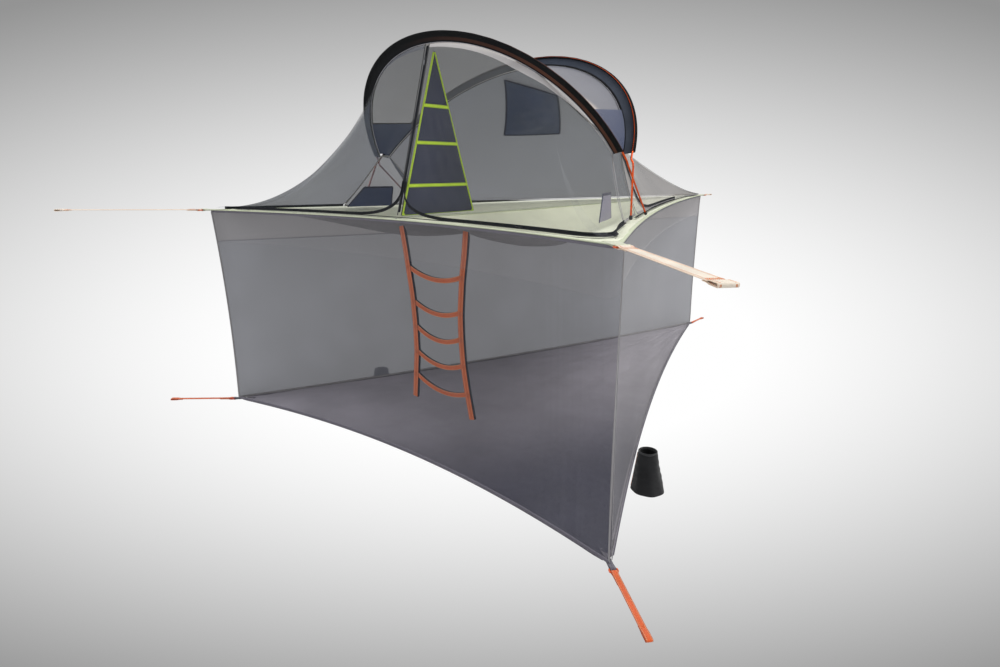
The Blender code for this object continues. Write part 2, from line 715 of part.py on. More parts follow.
def rear_panel_grid(nu=5, nv=5):
    g = rear_grid(-1)
    rows = []
    for a in np.linspace(0, 1, nu):
        row = []
        for b in np.linspace(0, 1, nv):
            top = np.array(PANEL[0]) * (1 - a) + np.array(PANEL[1]) * a
            low = np.array(PANEL[3]) * (1 - a) + np.array(PANEL[2]) * a
            u, v = top * (1 - b) + low * b
            bulge = 0.028 * math.sin(math.pi * a) * math.sin(math.pi * b)
            row.append(canopy_point(g, u, v) + PANEL_IN * (0.016 + bulge))
        rows.append(row)
    return np.array(rows)


shell("rear_navy_panel", rear_panel_grid(), FABRIC_T, NAVY)

# ---------------------------------------------------------------- zips
def zip_tape(name, pts, mat, origin=(0, 0, 0), sides=None, ups=None, width=ZIP_W, thick=0.0024):
    pts = np.asarray(pts, float)
    tangent = np.gradient(pts, axis=0)
    if sides is None:
        sides = np.cross(tangent, (0, 0, 1))
        ups = [(0, 0, 1)] * len(pts)
    return sweep(name, pts, sides, ups, width, thick, mat, origin=origin)


CENTRE_TOP = arch(True, math.pi / 2, -FRONT_W - 0.010, -0.004)
CENTRE_LOW = front_edge(0.5, CANOPY_INSET) + np.array([0, 0, 0.030])
centre_dir = unit(CENTRE_TOP - CENTRE_LOW)
centre_up = unit(np.cross((1, 0, 0), centre_dir))
zc = [CENTRE_LOW + (CENTRE_TOP - CENTRE_LOW) * k for k in np.linspace(0, 1, 6)]
zip_tape("centre_zip", zc, ZIP, DOOR_AXIS["right"][0], [(1, 0, 0)] * 6, [centre_up] * 6)

# the bottom zip runs from the left corner, along the front edge, round the right corner and
# back along the right side edge to the foot of the rear pole
bz = [front_edge(t, ZIP_INSET, 0.0075) for t in np.linspace(0.035, 0.955, 17)]
bz += [side_edge(t, 1, ZIP_INSET + 0.005, 0.0075) for t in np.linspace(0.035, 0.190, 5)]
zip_tape("bottom_zip", bz, ZIP)

# the rear zip drops behind the right rear pole and runs back along the edge to the rear corner
rz = []
for t in np.linspace(0.268, 0.955, 15):
    rz.append(side_edge(t, 1, ZIP_INSET * taper(t), 0.0075))
zip_tape("rear_zip", rz, ZIP)


def slider(name, at, along, up, mat, origin):
    """A zip slider body: a small bridge block with a rounded nose and an eye for the pull."""
    across = unit(np.cross(along, up))
    outline = []
    for x, y in ((-0.007, -0.006), (0.003, -0.006), (0.0075, -0.0025), (0.0075, 0.0025), (0.003, 0.006), (-0.007, 0.006)):
        outline.append(np.asarray(at) + unit(along) * x + across * y)
    body = prism(name, outline, up, 0.0030, mat, origin=origin)
    bridge = []
    for x, h in ((-0.0055, 0.0015), (-0.0055, 0.0052), (0.0035, 0.0052), (0.0035, 0.0015),
                 (0.0020, 0.0015), (0.0020, 0.0040), (-0.0040, 0.0040), (-0.0040, 0.0015)):
        bridge.append(np.asarray(at) + unit(along) * x + unit(up) * (h + 0.0012) - across * 0.0015)
    tool = prism("tool_bridge", bridge, across, 0.0030, mat, origin=origin)
    return union(body, [tool])


def pull(name, at, along, up, mat):
    """The pull tab: a flat loop whose near end runs through the slider's bridge."""
    along, up = unit(along), unit(up)
    across = unit(np.cross(along, up))
    outer, hole = [], []
    # near end: a slim frame round the bridge's bar; far end: a tab
    for lst, w0, w1, x0, x1 in ((outer, 0.0055, 0.0050, -0.0006, 0.034), (hole, 0.0028, 0.0028, 0.0006, 0.0080)):
        for cx, cy in ((x0, -w0), (x1, -w1), (x1, w1), (x0, w0)):
            lst.append(np.asarray(at) + along * cx + across * cy)
    return prism(name, outer, up, 0.0009, mat, holes=hole, origin=at)


SLIDERS = {}


def slider_pair(word, at, along, up):
    at, along, up = np.asarray(at, float), unit(along), unit(up)
    base = at + up * (0.0012 + GAP)
    slider(word + "_zip_slider", base, along, up, METAL, base)
    hinge_at = base + along * (-0.0010) + up * (0.0012 + 0.0028)
    pull(word + "_zip_pull", hinge_at - up * 0.00045 , -along, up, METAL)
    SLIDERS[word] = (base, along, hinge_at)


slider_pair("centre", CENTRE_TOP - centre_dir * 0.060, centre_dir, -centre_up if centre_up[1] > 0 else centre_up)
mid = front_edge(0.80, ZIP_INSET, 0.0075)
mid_dir = front_edge(0.81, ZIP_INSET) - front_edge(0.79, ZIP_INSET)

# ---------------------------------------------------------------- organiser behind the centre zip
ORG = [(0.532, 0.766), (0.544, 0.766), (0.803, 0.012), (0.296, 0.012)]
ORG_X = 0.0015
prism("organiser_panel", [(-ORG_X, y, z) for y, z in ORG], (1, 0, 0), 2 * ORG_X, NAVY)


def org_at(z):
    """Front and rear edge of the panel at height z."""
    k = (z - ORG[3][1]) / (ORG[0][1] - ORG[3][1])
    return ORG[3][0] + (ORG[0][0] - ORG[3][0]) * k, ORG[2][0] + (ORG[1][0] - ORG[2][0]) * k


trim_x = ORG_X + GAP
trim = prism("organiser_trim", [(trim_x, y, z) for y, z in ORG], (1, 0, 0), 0.0016, LIME,
             holes=[(trim_x, org_at(z)[0 if q in (0, 3) else 1] + (0.009 if q in (0, 3) else -0.009), z)
                    for q, z in ((0, 0.715), (1, 0.715), (2, 0.022), (3, 0.022))])
bars = []
for z in (0.140, 0.335, 0.508):
    f, r = org_at(z)
    f2, r2 = org_at(z + 0.016)
    bars.append(prism("tool_bar", [(trim_x, f + 0.004, z), (trim_x, r - 0.004, z),
                                   (trim_x, r2 - 0.004, z + 0.016), (trim_x, f2 + 0.004, z + 0.016)],
                      (1, 0, 0), 0.0016, LIME))
union(trim, bars)

# ---------------------------------------------------------------- floor pockets by the pole feet
POCKET_FRONT, POCKET_REAR = (0.880, 0.640), (0.785, 0.900)
for s, word in ((-1, "left"), (1, "right")):
    def pocket_point(k, z, lean):
        x = POCKET_FRONT[0] + (POCKET_REAR[0] - POCKET_FRONT[0]) * k
        y = POCKET_FRONT[1] + (POCKET_REAR[1] - POCKET_FRONT[1]) * k
        return (s * (x - lean), y, z)
    outline = [pocket_point(0.0, 0.006, 0.0), pocket_point(1.0, 0.006, 0.0),
               pocket_point(1.03, 0.118, 0.010), pocket_point(0.37, 0.118, 0.010)]
    prism("floor_pocket_" + word, outline, (-s * 0.94, -0.34, 0), 0.0030, NAVY)

# ---------------------------------------------------------------- lower room
def lower_floor_grid():
    inset = 0.024

    def low(u):
        return lower_front(CORNER_CUT + (1 - 2 * CORNER_CUT) * u, inset)
    left = side_path(lambda t: lower_side(t, -1, inset), low(0.0), 0.035, 0.955, FIRST_V)
    right = side_path(lambda t: lower_side(t, 1, inset), low(1.0), 0.035, 0.955, FIRST_V)

    def high(u):
        return left(1.0) + (right(1.0) - left(1.0)) * u
    return coons(low, high, left, right, np.linspace(0, 1, 9), VS)


shell("lower_floor", lower_floor_grid(), FLOOR_T, LOWER)

WALL_TOP, WALL_LOW = -0.0085, 0.0085
WALL_INSET = 0.004
WALL_BOW = 0.016


def wall_grid(top_fn, low_fn, bow_fn, nu=13, nv=4):
    rows = []
    for u in np.linspace(0, 1, nu):
        a, b = top_fn(u), low_fn(u)
        a = a + np.array([0, 0, WALL_TOP])
        b = b + np.array([0, 0, WALL_LOW])
        row = []
        for v in np.linspace(0, 1, nv):
            p = a * (1 - v) + b * v
            row.append(p + bow_fn(u) * WALL_BOW * 4 * v * (1 - v))
        rows.append(row)
    return np.array(rows)


def front_wall_top(u):
    """Along the front edge and a little way round the right corner."""
    if u <= 0.94:
        return front_edge(0.012 + 0.970 * u / 0.94, WALL_INSET)
    a, b = front_edge(0.982, WALL_INSET), side_edge(0.050, 1, WALL_INSET)
    k = (u - 0.94) / 0.06
    corner = np.array([HALF_BASE - 0.012, 0.030, 0.0])
    return (1 - k) ** 2 * a + 2 * k * (1 - k) * corner + k ** 2 * b


def front_bow(u):
    return unit((0.744 * (1 - 2 * u), 0.668 + 0.332 * math.sin(math.pi * u), 0.0))


def side_bow(u, s):
    return unit((-s * 0.744 * (1 - u), 0.668 * (1 - 2.5 * u) - 0.2 * u, 0.0))


shell("wall_front", wall_grid(front_wall_top, lambda u: lower_front(0.006 + 0.988 * u, WALL_INSET),
                              front_bow, 18), FABRIC_T, WALL)
shell("wall_left", wall_grid(lambda u: side_edge(0.014 + 0.974 * u, -1, WALL_INSET),
                             lambda u: lower_side(0.014 + 0.974 * u, -1, WALL_INSET),
                             lambda u: side_bow(u, -1)), FABRIC_T, WALL)
shell("wall_right", wall_grid(lambda u: side_edge(0.056 + 0.932 * u, 1, WALL_INSET),
                              lambda u: lower_side(0.014 + 0.974 * u, 1, WALL_INSET),
                              lambda u: side_bow(u, 1)), FABRIC_T, WALL)

# ---------------------------------------------------------------- ladder
LADDER_Y = 0.252
LADDER_AXIS = np.array([0.25, LADDER_Y, -0.020])
STRINGERS = {
    "left": ((0.042, -0.030), (0.063, -0.130), (0.080, -0.230), (0.102, -0.350), (0.115, -0.490),
             (0.119, -0.630), (0.108, -0.750), (0.098, -0.862)),
    "right": ((0.455, -0.030), (0.444, -0.130), (0.427, -0.240), (0.414, -0.400), (0.417, -0.520),
              (0.427, -0.635), (0.448, -0.755), (0.478, -0.888)),
}
RUNGS = ((-0.222, -0.262, -0.236), (-0.383, -0.422, -0.398), (-0.503, -0.548, -0.520),
         (-0.628, -0.670, -0.644), (-0.745, -0.796, -0.775))
RUNG_W, STRINGER_W = 0.022, 0.026


def stringer_x(word, z):
    xs = STRINGERS[word]
    zz = [-q[1] for q in xs]
    return float(np.interp(-z, zz, [q[0] for q in xs]))


for word in ("left", "right"):
    pts = [(x, LADDER_Y, z) for x, z in STRINGERS[word]]
    tangent = np.gradient(np.array(pts), axis=0)
    sides = np.cross(tangent, (0, 1, 0))
    sweep("ladder_stringer_" + word, pts, sides, [(0, 1, 0)] * len(pts), STRINGER_W, WEBBING_T, LADDER,
          origin=LADDER_AXIS)
for k, (z0, z1, z2) in enumerate(RUNGS):
    xa, xb = stringer_x("left", z0), stringer_x("right", z2)
    ts = np.linspace(0, 1, 6)
    pts = []
    for t in ts:
        z = (1 - t) ** 2 * z0 + 2 * t * (1 - t) * (2 * z1 - (z0 + z2) / 2) + t ** 2 * z2
        pts.append((xa + (xb - xa) * t, LADDER_Y + WEBBING_T + 0.0006, z))
    tangent = np.gradient(np.array(pts), axis=0)
    sides = np.cross(tangent, (0, 1, 0))
    sweep("ladder_rung_%d" % (k + 1), pts, sides, [(0, 1, 0)] * len(pts), RUNG_W, WEBBING_T, LADDER,
          origin=LADDER_AXIS)

# ---------------------------------------------------------------- bags at the lower floor's side edges
BAG_TOP_Z, BAG_LOW_Z = -1.128, -1.335
for s, word in ((-1, "left"), (1, "right")):
    cx0, cx1, cy0, cy1 = 1.024, 1.034, 0.950, 0.950
    rt, rb, wall_t = 0.046, 0.083, 0.003
    n = 14
    rings = []
    for k in np.linspace(0, 1, 4):
        rings.append((rb + (rt - rb) * k ** 0.9, BAG_LOW_Z + (BAG_TOP_Z - BAG_LOW_Z) * k))
    inner = [(r - wall_t, z + (wall_t if i == 0 else 0.0)) for i, (r, z) in enumerate(rings)]
    profile = rings + list(reversed(inner))
    verts, faces = [], []
    for r, z in profile:
        k = (z - BAG_LOW_Z) / (BAG_TOP_Z - BAG_LOW_Z)
        cx, cy = cx1 + (cx0 - cx1) * k, cy1 + (cy0 - cy1) * k
        for q in range(n):
            a = 2 * math.pi * q / n
            verts.append((s * (cx + r * math.cos(a)), cy + r * math.sin(a), z))
    for q in range(len(profile) - 1):
        for k in range(n):
            m = (k + 1) % n
            faces.append((q * n + k, q * n + m, (q + 1) * n + m, (q + 1) * n + k))
    faces.append(tuple(range(n)))
    faces.append(tuple(reversed(range((len(profile) - 1) * n, len(profile) * n))))
    add("side_bag_" + word, verts, faces, BLACK, origin=(s * (cx0 - rt), cy0, BAG_TOP_Z))

slider_pair("bottom", mid, mid_dir, (0, 0, 1))
rmid = side_edge(0.50, 1, ZIP_INSET, 0.0075)
rdir = side_edge(0.51, 1, ZIP_INSET) - side_edge(0.49, 1, ZIP_INSET)
slider_pair("rear", rmid, rdir, (0, 0, 1))
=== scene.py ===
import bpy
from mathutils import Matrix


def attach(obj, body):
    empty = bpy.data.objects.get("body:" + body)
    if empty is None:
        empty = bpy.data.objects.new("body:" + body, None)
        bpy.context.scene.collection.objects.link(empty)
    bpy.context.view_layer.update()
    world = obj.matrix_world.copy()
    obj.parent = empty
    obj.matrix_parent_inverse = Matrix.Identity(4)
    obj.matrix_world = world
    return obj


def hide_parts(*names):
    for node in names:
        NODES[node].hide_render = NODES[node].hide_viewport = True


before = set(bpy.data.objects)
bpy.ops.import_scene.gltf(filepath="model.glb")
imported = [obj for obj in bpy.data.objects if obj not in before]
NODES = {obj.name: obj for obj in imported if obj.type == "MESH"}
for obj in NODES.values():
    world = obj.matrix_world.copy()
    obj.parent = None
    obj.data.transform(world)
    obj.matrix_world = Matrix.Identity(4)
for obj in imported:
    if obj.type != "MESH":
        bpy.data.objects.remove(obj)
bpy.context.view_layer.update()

import math

import bpy
import numpy as np
from mathutils import Vector

# ================================================================ the tent's own curves, in metres
# Tent coordinates: the front corners lie on y = 0 and the upper floor on z = 0. SHIFT takes them to the part's frame.
HALF_BASE, APEX_Y, FRONT_SAG, SIDE_SAG = 1.350, 3.800, 0.220, 0.100
LOWER_Z, LOWER_HALF, LOWER_Y0, LOWER_APEX_Y = -1.166, 1.345, 0.054, 3.781
LOWER_FRONT_SAG, LOWER_SIDE_SAG = 0.165, 0.080
HANG_Y, BERTH_SAG = 1.210, 0.155
POLE_D, ARCH_Y, ARCH_Z = 0.0085, 0.886, 0.253
FRONT_TILT, FRONT_A, FRONT_B, FRONT_HC, FRONT_W = math.radians(35.6), 0.875, 0.826, -0.107, 0.049
REAR_TILT, REAR_A, REAR_B, REAR_HC, REAR_W = math.radians(-38.5), 0.893, 0.840, -0.100, 0.062
WEB_T = 0.004
REAR_FOOT, FRONT_FOOT = (0.940, 0.805), (0.838, 1.140)
WEBBING_T, TOP_STRAP_W, LOW_STRAP_W = 0.0025, 0.050, 0.025
STRAP_DIR = (0.744, -0.668)
STRAP_LENGTHS = {"front_left": 0.81, "front_right": 0.65, "rear": 0.14}
LOW_STRAP_LENGTHS = {"front_left": 0.375, "front_right": 0.345, "rear": 0.25}
ZIP_W, GAP = 0.018, 0.0005
SHIFT = np.array([0.0, -HANG_Y, 0.0])
SIDE_LEN = math.hypot(HALF_BASE, APEX_Y)
LOWER_RUN = LOWER_APEX_Y - LOWER_Y0
LOWER_SIDE_LEN = math.hypot(LOWER_HALF, LOWER_RUN)
RING_BAR, INNER_BAR_S = 0.005, 0.012
UPPER_RING, LOWER_RING = (0.064, 0.024), (0.036, 0.022)


def unit(v):
    v = np.asarray(v, float)
    return v / max(np.linalg.norm(v), 1e-12)


def front_edge(t, inset=0.0, z=0.0):
    return np.array([-HALF_BASE + 2 * HALF_BASE * t, FRONT_SAG * 4 * t * (1 - t) + inset, z])


def side_edge(t, s, inset=0.0, z=0.0):
    nx, ny = -APEX_Y / SIDE_LEN, -HALF_BASE / SIDE_LEN
    out = SIDE_SAG * 4 * t * (1 - t) + inset
    return np.array([s * (HALF_BASE * (1 - t) + nx * out), APEX_Y * t + ny * out, z])


def lower_front(t, inset=0.0):
    return np.array([-LOWER_HALF + 2 * LOWER_HALF * t,
                     LOWER_Y0 + LOWER_FRONT_SAG * 4 * t * (1 - t) + inset, LOWER_Z])


def lower_side(t, s, inset=0.0):
    nx, ny = -LOWER_RUN / LOWER_SIDE_LEN, -LOWER_HALF / LOWER_SIDE_LEN
    out = LOWER_SIDE_SAG * 4 * t * (1 - t) + inset
    return np.array([s * (LOWER_HALF * (1 - t) + nx * out), LOWER_Y0 + LOWER_RUN * t + ny * out, LOWER_Z])


def arch(front, phi, off=0.0, lift=0.0):
    if front:
        tilt, a, b, hc = FRONT_TILT, FRONT_A, FRONT_B, FRONT_HC
        normal = np.array([0.0, math.cos(tilt), math.sin(tilt)])
    else:
        tilt, a, b, hc = REAR_TILT, REAR_A, REAR_B, REAR_HC
        normal = -np.array([0.0, math.cos(tilt), math.sin(tilt)])
    x = (a + off) * math.cos(phi)
    h = hc + (b + off) * math.sin(phi)
    return np.array([x, ARCH_Y - h * math.sin(tilt), ARCH_Z + h * math.cos(tilt)]) + normal * lift


def arch_start(front):
    b, hc = (FRONT_B, FRONT_HC) if front else (REAR_B, REAR_HC)
    return math.asin(-hc / b)


SLEEVE_START = 0.075
POLE_LIFT, POLE_OFF = WEB_T / 2 + POLE_D / 2 + GAP, -0.006
BERTH_INSET, CORNER_CUT, LOWER_CUT, FIRST_V = 0.010, 0.045, 0.012, 0.04
CANOPY_INSET, ZIP_INSET = 0.062, 0.045
DOOR_CENTRE_X = ZIP_W / 2 + 0.0015
GUSSET_PHI = {True: 0.52, False: 0.56}


def coons(low, high, left, right, us, vs):
    rows = []
    for u in us:
        row = []
        for v in vs:
            p = (1 - v) * low(u) + v * high(u) + (1 - u) * left(v) + u * right(v)
            p = p - ((1 - u) * (1 - v) * low(0.0) + u * (1 - v) * low(1.0)
                     + (1 - u) * v * high(0.0) + u * v * high(1.0))
            row.append(p)
        rows.append(row)
    return np.array(rows)


def side_path(fn, front_point, t0, t1, first):
    def path(v):
        if v <= first:
            return front_point + (fn(t0) - front_point) * (v / first)
        return fn(t0 + (t1 - t0) * (v - first) / (1 - first))
    return path


FINE_V = np.concatenate([[0.0, 0.013, 0.027], np.linspace(FIRST_V, 1.0, 46)])


def berth(s, us):
    def low(u):
        t = 0.5 + (0.5 - CORNER_CUT) * u
        p = front_edge(t, BERTH_INSET)
        return np.array([max(p[0], 0.018), p[1], 0.0])
    right = side_path(lambda t: side_edge(t, 1, BERTH_INSET), low(1.0), 0.035, 0.955, FIRST_V)
    top = right(1.0)

    def high(u):
        return np.array([0.018 + (top[0] - 0.018) * u, top[1], 0.0])

    def left(v):
        return low(0.0) + (high(0.0) - low(0.0)) * v
    g = coons(low, high, left, right, us, FINE_V)
    for i, u in enumerate(us):
        for j, v in enumerate(FINE_V):
            f = ((v / 0.24) * math.exp(1 - v / 0.24)) ** 1.5 * (1 - v ** 3)
            g[i, j, 2] = -BERTH_SAG * max(0.0, math.sin(math.pi * u ** 0.70)) ** 1.7 * f
            g[i, j, 0] *= s
    return g


def lower_floor_grid(us):
    inset = 0.010

    def low(u):
        return lower_front(LOWER_CUT + (1 - 2 * LOWER_CUT) * u, inset)
    left = side_path(lambda t: lower_side(t, -1, inset), low(0.0), 0.016, 0.985, FIRST_V)
    right = side_path(lambda t: lower_side(t, 1, inset), low(1.0), 0.016, 0.985, FIRST_V)

    def high(u):
        return left(1.0) + (right(1.0) - left(1.0)) * u
    return coons(low, high, left, right, us, FINE_V)


def loop_points(front_fn, side_fn, inset, count):
    pts = [front_fn(t, inset) for t in np.linspace(0.02, 0.98, count)]
    pts += [side_fn(t, 1, inset) for t in np.linspace(0.02, 0.98, count)]
    pts += [side_fn(t, -1, inset) for t in np.linspace(0.98, 0.02, count)]
    return np.array(pts)


def corner_frames(low):
    z = LOWER_Z if low else 0.0
    half, y0, apex = (LOWER_HALF, LOWER_Y0, LOWER_APEX_Y) if low else (HALF_BASE, 0.0, APEX_Y)
    return {
        "front_left": (np.array([-half, y0, z]), np.array([-STRAP_DIR[0], STRAP_DIR[1], 0.0])),
        "front_right": (np.array([half, y0, z]), np.array([STRAP_DIR[0], STRAP_DIR[1], 0.0])),
        "rear": (np.array([0.0, apex, z]), np.array([0.0, 1.0, 0.0])),
    }


def ring_s(low):
    size = LOWER_RING if low else UPPER_RING
    return INNER_BAR_S, INNER_BAR_S + size[1] - RING_BAR


def bezier(p0, p1, p2, p3, count):
    return [(1 - t) ** 3 * p0 + 3 * (1 - t) ** 2 * t * p1 + 3 * (1 - t) * t ** 2 * p2 + t ** 3 * p3
            for t in np.linspace(0, 1, count)]


def pole_points(front, count=61):
    start = arch_start(front) + 0.045
    phis = np.linspace(start, math.pi - start, count)
    top = [arch(front, p, POLE_OFF, POLE_LIFT) for p in phis]
    foot = FRONT_FOOT if front else REAR_FOOT
    legs = []
    for s in (1, -1):
        end = np.array([s * foot[0], foot[1], 0.0165])
        first, second = (top[0], top[1]) if s == 1 else (top[-1], top[-2])
        direction = unit(first - second)
        cross = np.array([s * ((FRONT_A - 0.010) if front else (REAR_A + 0.002)), ARCH_Y, ARCH_Z])
        down = unit(end - cross)
        leg = bezier(first, first + direction * 0.05, cross - down * 0.03, cross + down * 0.02, 10)
        leg += [cross + down * 0.02 + (end - cross - down * 0.02) * k for k in np.linspace(0.12, 1.0, 8)]
        legs.append(leg[1:])
    return np.array(list(reversed(legs[0])) + top + legs[1])


def taper(t):
    return min(1.0, (1.0 - t) / 0.12)


def floor_route(w, s, front, inset):
    foot_t = 0.190 if front else 0.325
    if front:
        corner = 0.60
        if w <= corner:
            k = w / corner
            return front_edge(0.5 + s * 0.5 * k * 0.985, inset)
        k = (w - corner) / (1 - corner)
        return side_edge(0.010 + (foot_t - 0.010) * k, s, inset)
    t = 0.975 - (0.975 - foot_t) * w
    return side_edge(t, s, inset * taper(t))


def door_grid(s, us, vs, top_gap=0.0035, foot_z=0.016):
    begin = arch_start(True) + SLEEVE_START + 0.01
    rows = []
    for u in us:
        phi = math.pi / 2 - (math.pi / 2 - begin) * (u ** 1.05)
        top = arch(True, phi, -FRONT_W - top_gap, -0.004)
        low = floor_route(u, s, True, CANOPY_INSET)
        power = 1.0 + 1.35 * math.exp(-((u - 0.60) / 0.20) ** 2) + 0.35 * max(0.0, u - 0.6)
        row = []
        for v in vs:
            x = s * abs(top[0]) * (1 - v) + low[0] * v
            y = top[1] * (1 - v) + low[1] * v
            z = foot_z + (top[2] - foot_z) * (1 - v) ** power
            if abs(x) < DOOR_CENTRE_X:
                x = s * DOOR_CENTRE_X
            row.append((x, y, z))
        rows.append(row)
    return np.array(rows)


def rear_grid(s, us, vs, top_gap=0.0035, foot_z=0.016):
    begin = arch_start(False) + SLEEVE_START + 0.01
    rows = []
    for u in us:
        phi = math.pi / 2 - (math.pi / 2 - begin) * u
        top = arch(False, phi, -REAR_W - top_gap, -0.004)
        low = floor_route(u, s, False, CANOPY_INSET)
        power = 1.40 + 0.9 * math.sin(math.pi * u) ** 2 * (1 - 0.4 * u)
        row = []
        for v in vs:
            x = s * abs(top[0]) * (1 - v) + low[0] * v
            y = top[1] * (1 - v) + low[1] * v
            z = foot_z + (top[2] - foot_z) * (1 - v) ** power
            if abs(x) < 0.0030:
                x = s * 0.0030
            row.append((x, y, z))
        rows.append(row)
    return np.array(rows)


def roof_grid(us, vs):
    rows = []
    for u in us:
        pf = GUSSET_PHI[True] + (math.pi - 2 * GUSSET_PHI[True]) * u
        pr = GUSSET_PHI[False] + (math.pi - 2 * GUSSET_PHI[False]) * u
        f = arch(True, pf, -FRONT_W - 0.0035, 0.004)
        r = arch(False, pr, -REAR_W - 0.0035, 0.004)
        row = []
        for v in vs:
            p = f * (1 - v) + r * v
            p[2] -= 0.035 * 4 * v * (1 - v) * min(1.0, 6 * min(u, 1 - u))
            p[0] *= 1 - 0.012 * 4 * v * (1 - v)
            row.append(p)
        rows.append(row)
    return np.array(rows)


def gusset_low(s, ks, vs):
    """The lower part of the side panel, from the floor up to the pole crossing."""
    f0, r0 = arch_start(True) + SLEEVE_START + 0.012, arch_start(False) + SLEEVE_START + 0.014
    low_f, low_r = arch(True, f0, -FRONT_W - 0.005, 0.004), arch(False, r0, -REAR_W - 0.005, 0.004)
    foot_f, foot_r = side_edge(0.1913, 1, 0.0655, 0.0085), side_edge(0.3225, 1, 0.072, 0.0085)
    rows = []
    for k in ks:
        row = []
        for v in vs:
            p = (foot_f + (low_f - foot_f) * k) * (1 - v) + (foot_r + (low_r - foot_r) * k) * v
            p[0] = s * (p[0] - 0.012 * math.sin(math.pi * k))
            row.append(p)
        rows.append(row)
    return np.array(rows)


def gusset_high(s, us, vs):
    """The upper part of the side panel, the lens between the two arches."""
    f0, r0 = arch_start(True) + SLEEVE_START + 0.030, arch_start(False) + SLEEVE_START + 0.030
    rows = []
    for u in us:
        pf = f0 + (GUSSET_PHI[True] - 0.003 - f0) * u
        pr = r0 + (GUSSET_PHI[False] - 0.003 - r0) * u
        f, r = arch(True, pf, -FRONT_W + 0.006, 0.0042), arch(False, pr, -REAR_W + 0.006, 0.0042)
        row = []
        for v in vs:
            p = f * (1 - v) + r * v
            p[0] = s * (p[0] - 0.010 * 4 * v * (1 - v))
            row.append(p)
        rows.append(row)
    return np.array(rows)


PANEL = ((0.190, 0.014), (0.012, 0.112), (0.175, 0.272), (0.390, 0.196))
PANEL_IN = unit((0.415, -0.600, -0.683))
WALL_TOP, WALL_LOW, WALL_INSET, WALL_BOW = -0.0085, 0.0085, 0.004, 0.016


def front_wall_top(u):
    if u <= 0.94:
        return front_edge(0.012 + 0.970 * u / 0.94, WALL_INSET)
    a, b = front_edge(0.982, WALL_INSET), side_edge(0.050, 1, WALL_INSET)
    k = (u - 0.94) / 0.06
    corner = np.array([HALF_BASE - 0.012, 0.030, 0.0])
    return (1 - k) ** 2 * a + 2 * k * (1 - k) * corner + k ** 2 * b


def left_wall_path(u, start, side):
    """The left wall's edge: round the corner from the front wall's end, then along the side."""
    if u >= 0.03:
        return side(0.022 + 0.973 * (u - 0.03) / 0.97)
    a, b = np.asarray(start, float), np.asarray(side(0.022), float)
    d = np.asarray(side(0.030), float) - b
    corner = b - d / np.linalg.norm(d) * np.linalg.norm(b - a) * 0.45
    k = u / 0.03
    return (1 - k) ** 2 * a + 2 * k * (1 - k) * corner + k ** 2 * b


def front_bow(u):
    return unit((0.744 * (1 - 2 * u), 0.668 + 0.332 * math.sin(math.pi * u), 0.0))


def side_bow(u, s):
    return unit((-s * 0.744 * (1 - u), 0.668 * (1 - 2.5 * u) - 0.2 * u, 0.0))


def wall_grid(top_fn, low_fn, bow_fn, us, vs):
    rows = []
    for u in us:
        a = top_fn(u) + np.array([0, 0, WALL_TOP])
        b = low_fn(u) + np.array([0, 0, WALL_LOW])
        rows.append([a * (1 - v) + b * v + bow_fn(u) * WALL_BOW * 4 * v * (1 - v) for v in vs])
    return np.array(rows)


# ================================================================ building meshes
def normals_of(g):
    n = np.cross(np.gradient(g, axis=0), np.gradient(g, axis=1))
    return n / np.maximum(np.linalg.norm(n, axis=2, keepdims=True), 1e-12)


def plane_uv(points):
    """Each point's place on the panel's own plane, in metres, so that the weave keeps its size."""
    p = np.asarray(points, float).reshape(-1, 3)
    c = p.mean(0)
    _, _, axes = np.linalg.svd((p - c)[:: max(1, len(p) // 400)], full_matrices=False)
    return (p - c) @ axes[:2].T


def frames_along(p, closed=False):
    """Tangent, side and up along a path, turned as little as possible from point to point."""
    p = np.asarray(p, float)
    t = (np.roll(p, -1, 0) - np.roll(p, 1, 0)) if closed else np.gradient(p, axis=0)
    t = t / np.maximum(np.linalg.norm(t, axis=1, keepdims=True), 1e-12)
    ref = np.array([0.0, 0.0, 1.0]) if abs(t[0][2]) < 0.9 else np.array([1.0, 0.0, 0.0])
    side = unit(np.cross(t[0], ref))
    sides = [side]
    for k in range(1, len(p)):
        side = side - t[k] * np.dot(side, t[k])
        side = unit(side)
        sides.append(side)
    sides = np.array(sides)
    return t, sides, np.cross(sides, t)


def along(p, closed=False):
    q = np.vstack([p, p[:1]]) if closed else np.asarray(p)
    return np.concatenate([[0.0], np.cumsum(np.linalg.norm(np.diff(q, axis=0), axis=1))])


def even(p, step):
    """The same path with points a step apart."""
    p = np.asarray(p, float)
    d = along(p)
    n = max(2, int(round(d[-1] / step)) + 1)
    s = np.linspace(0, d[-1], n)
    return np.stack([np.interp(s, d, p[:, k]) for k in range(3)], 1)


def smooth_path(p, rounds=2):
    """Corner cutting: the path keeps its ends and loses its kinks."""
    p = np.asarray(p, float)
    for _ in range(rounds):
        q = [p[0]]
        for a, b in zip(p[:-1], p[1:]):
            q += [a * 0.75 + b * 0.25, a * 0.25 + b * 0.75]
        q.append(p[-1])
        p = np.array(q)
    return p


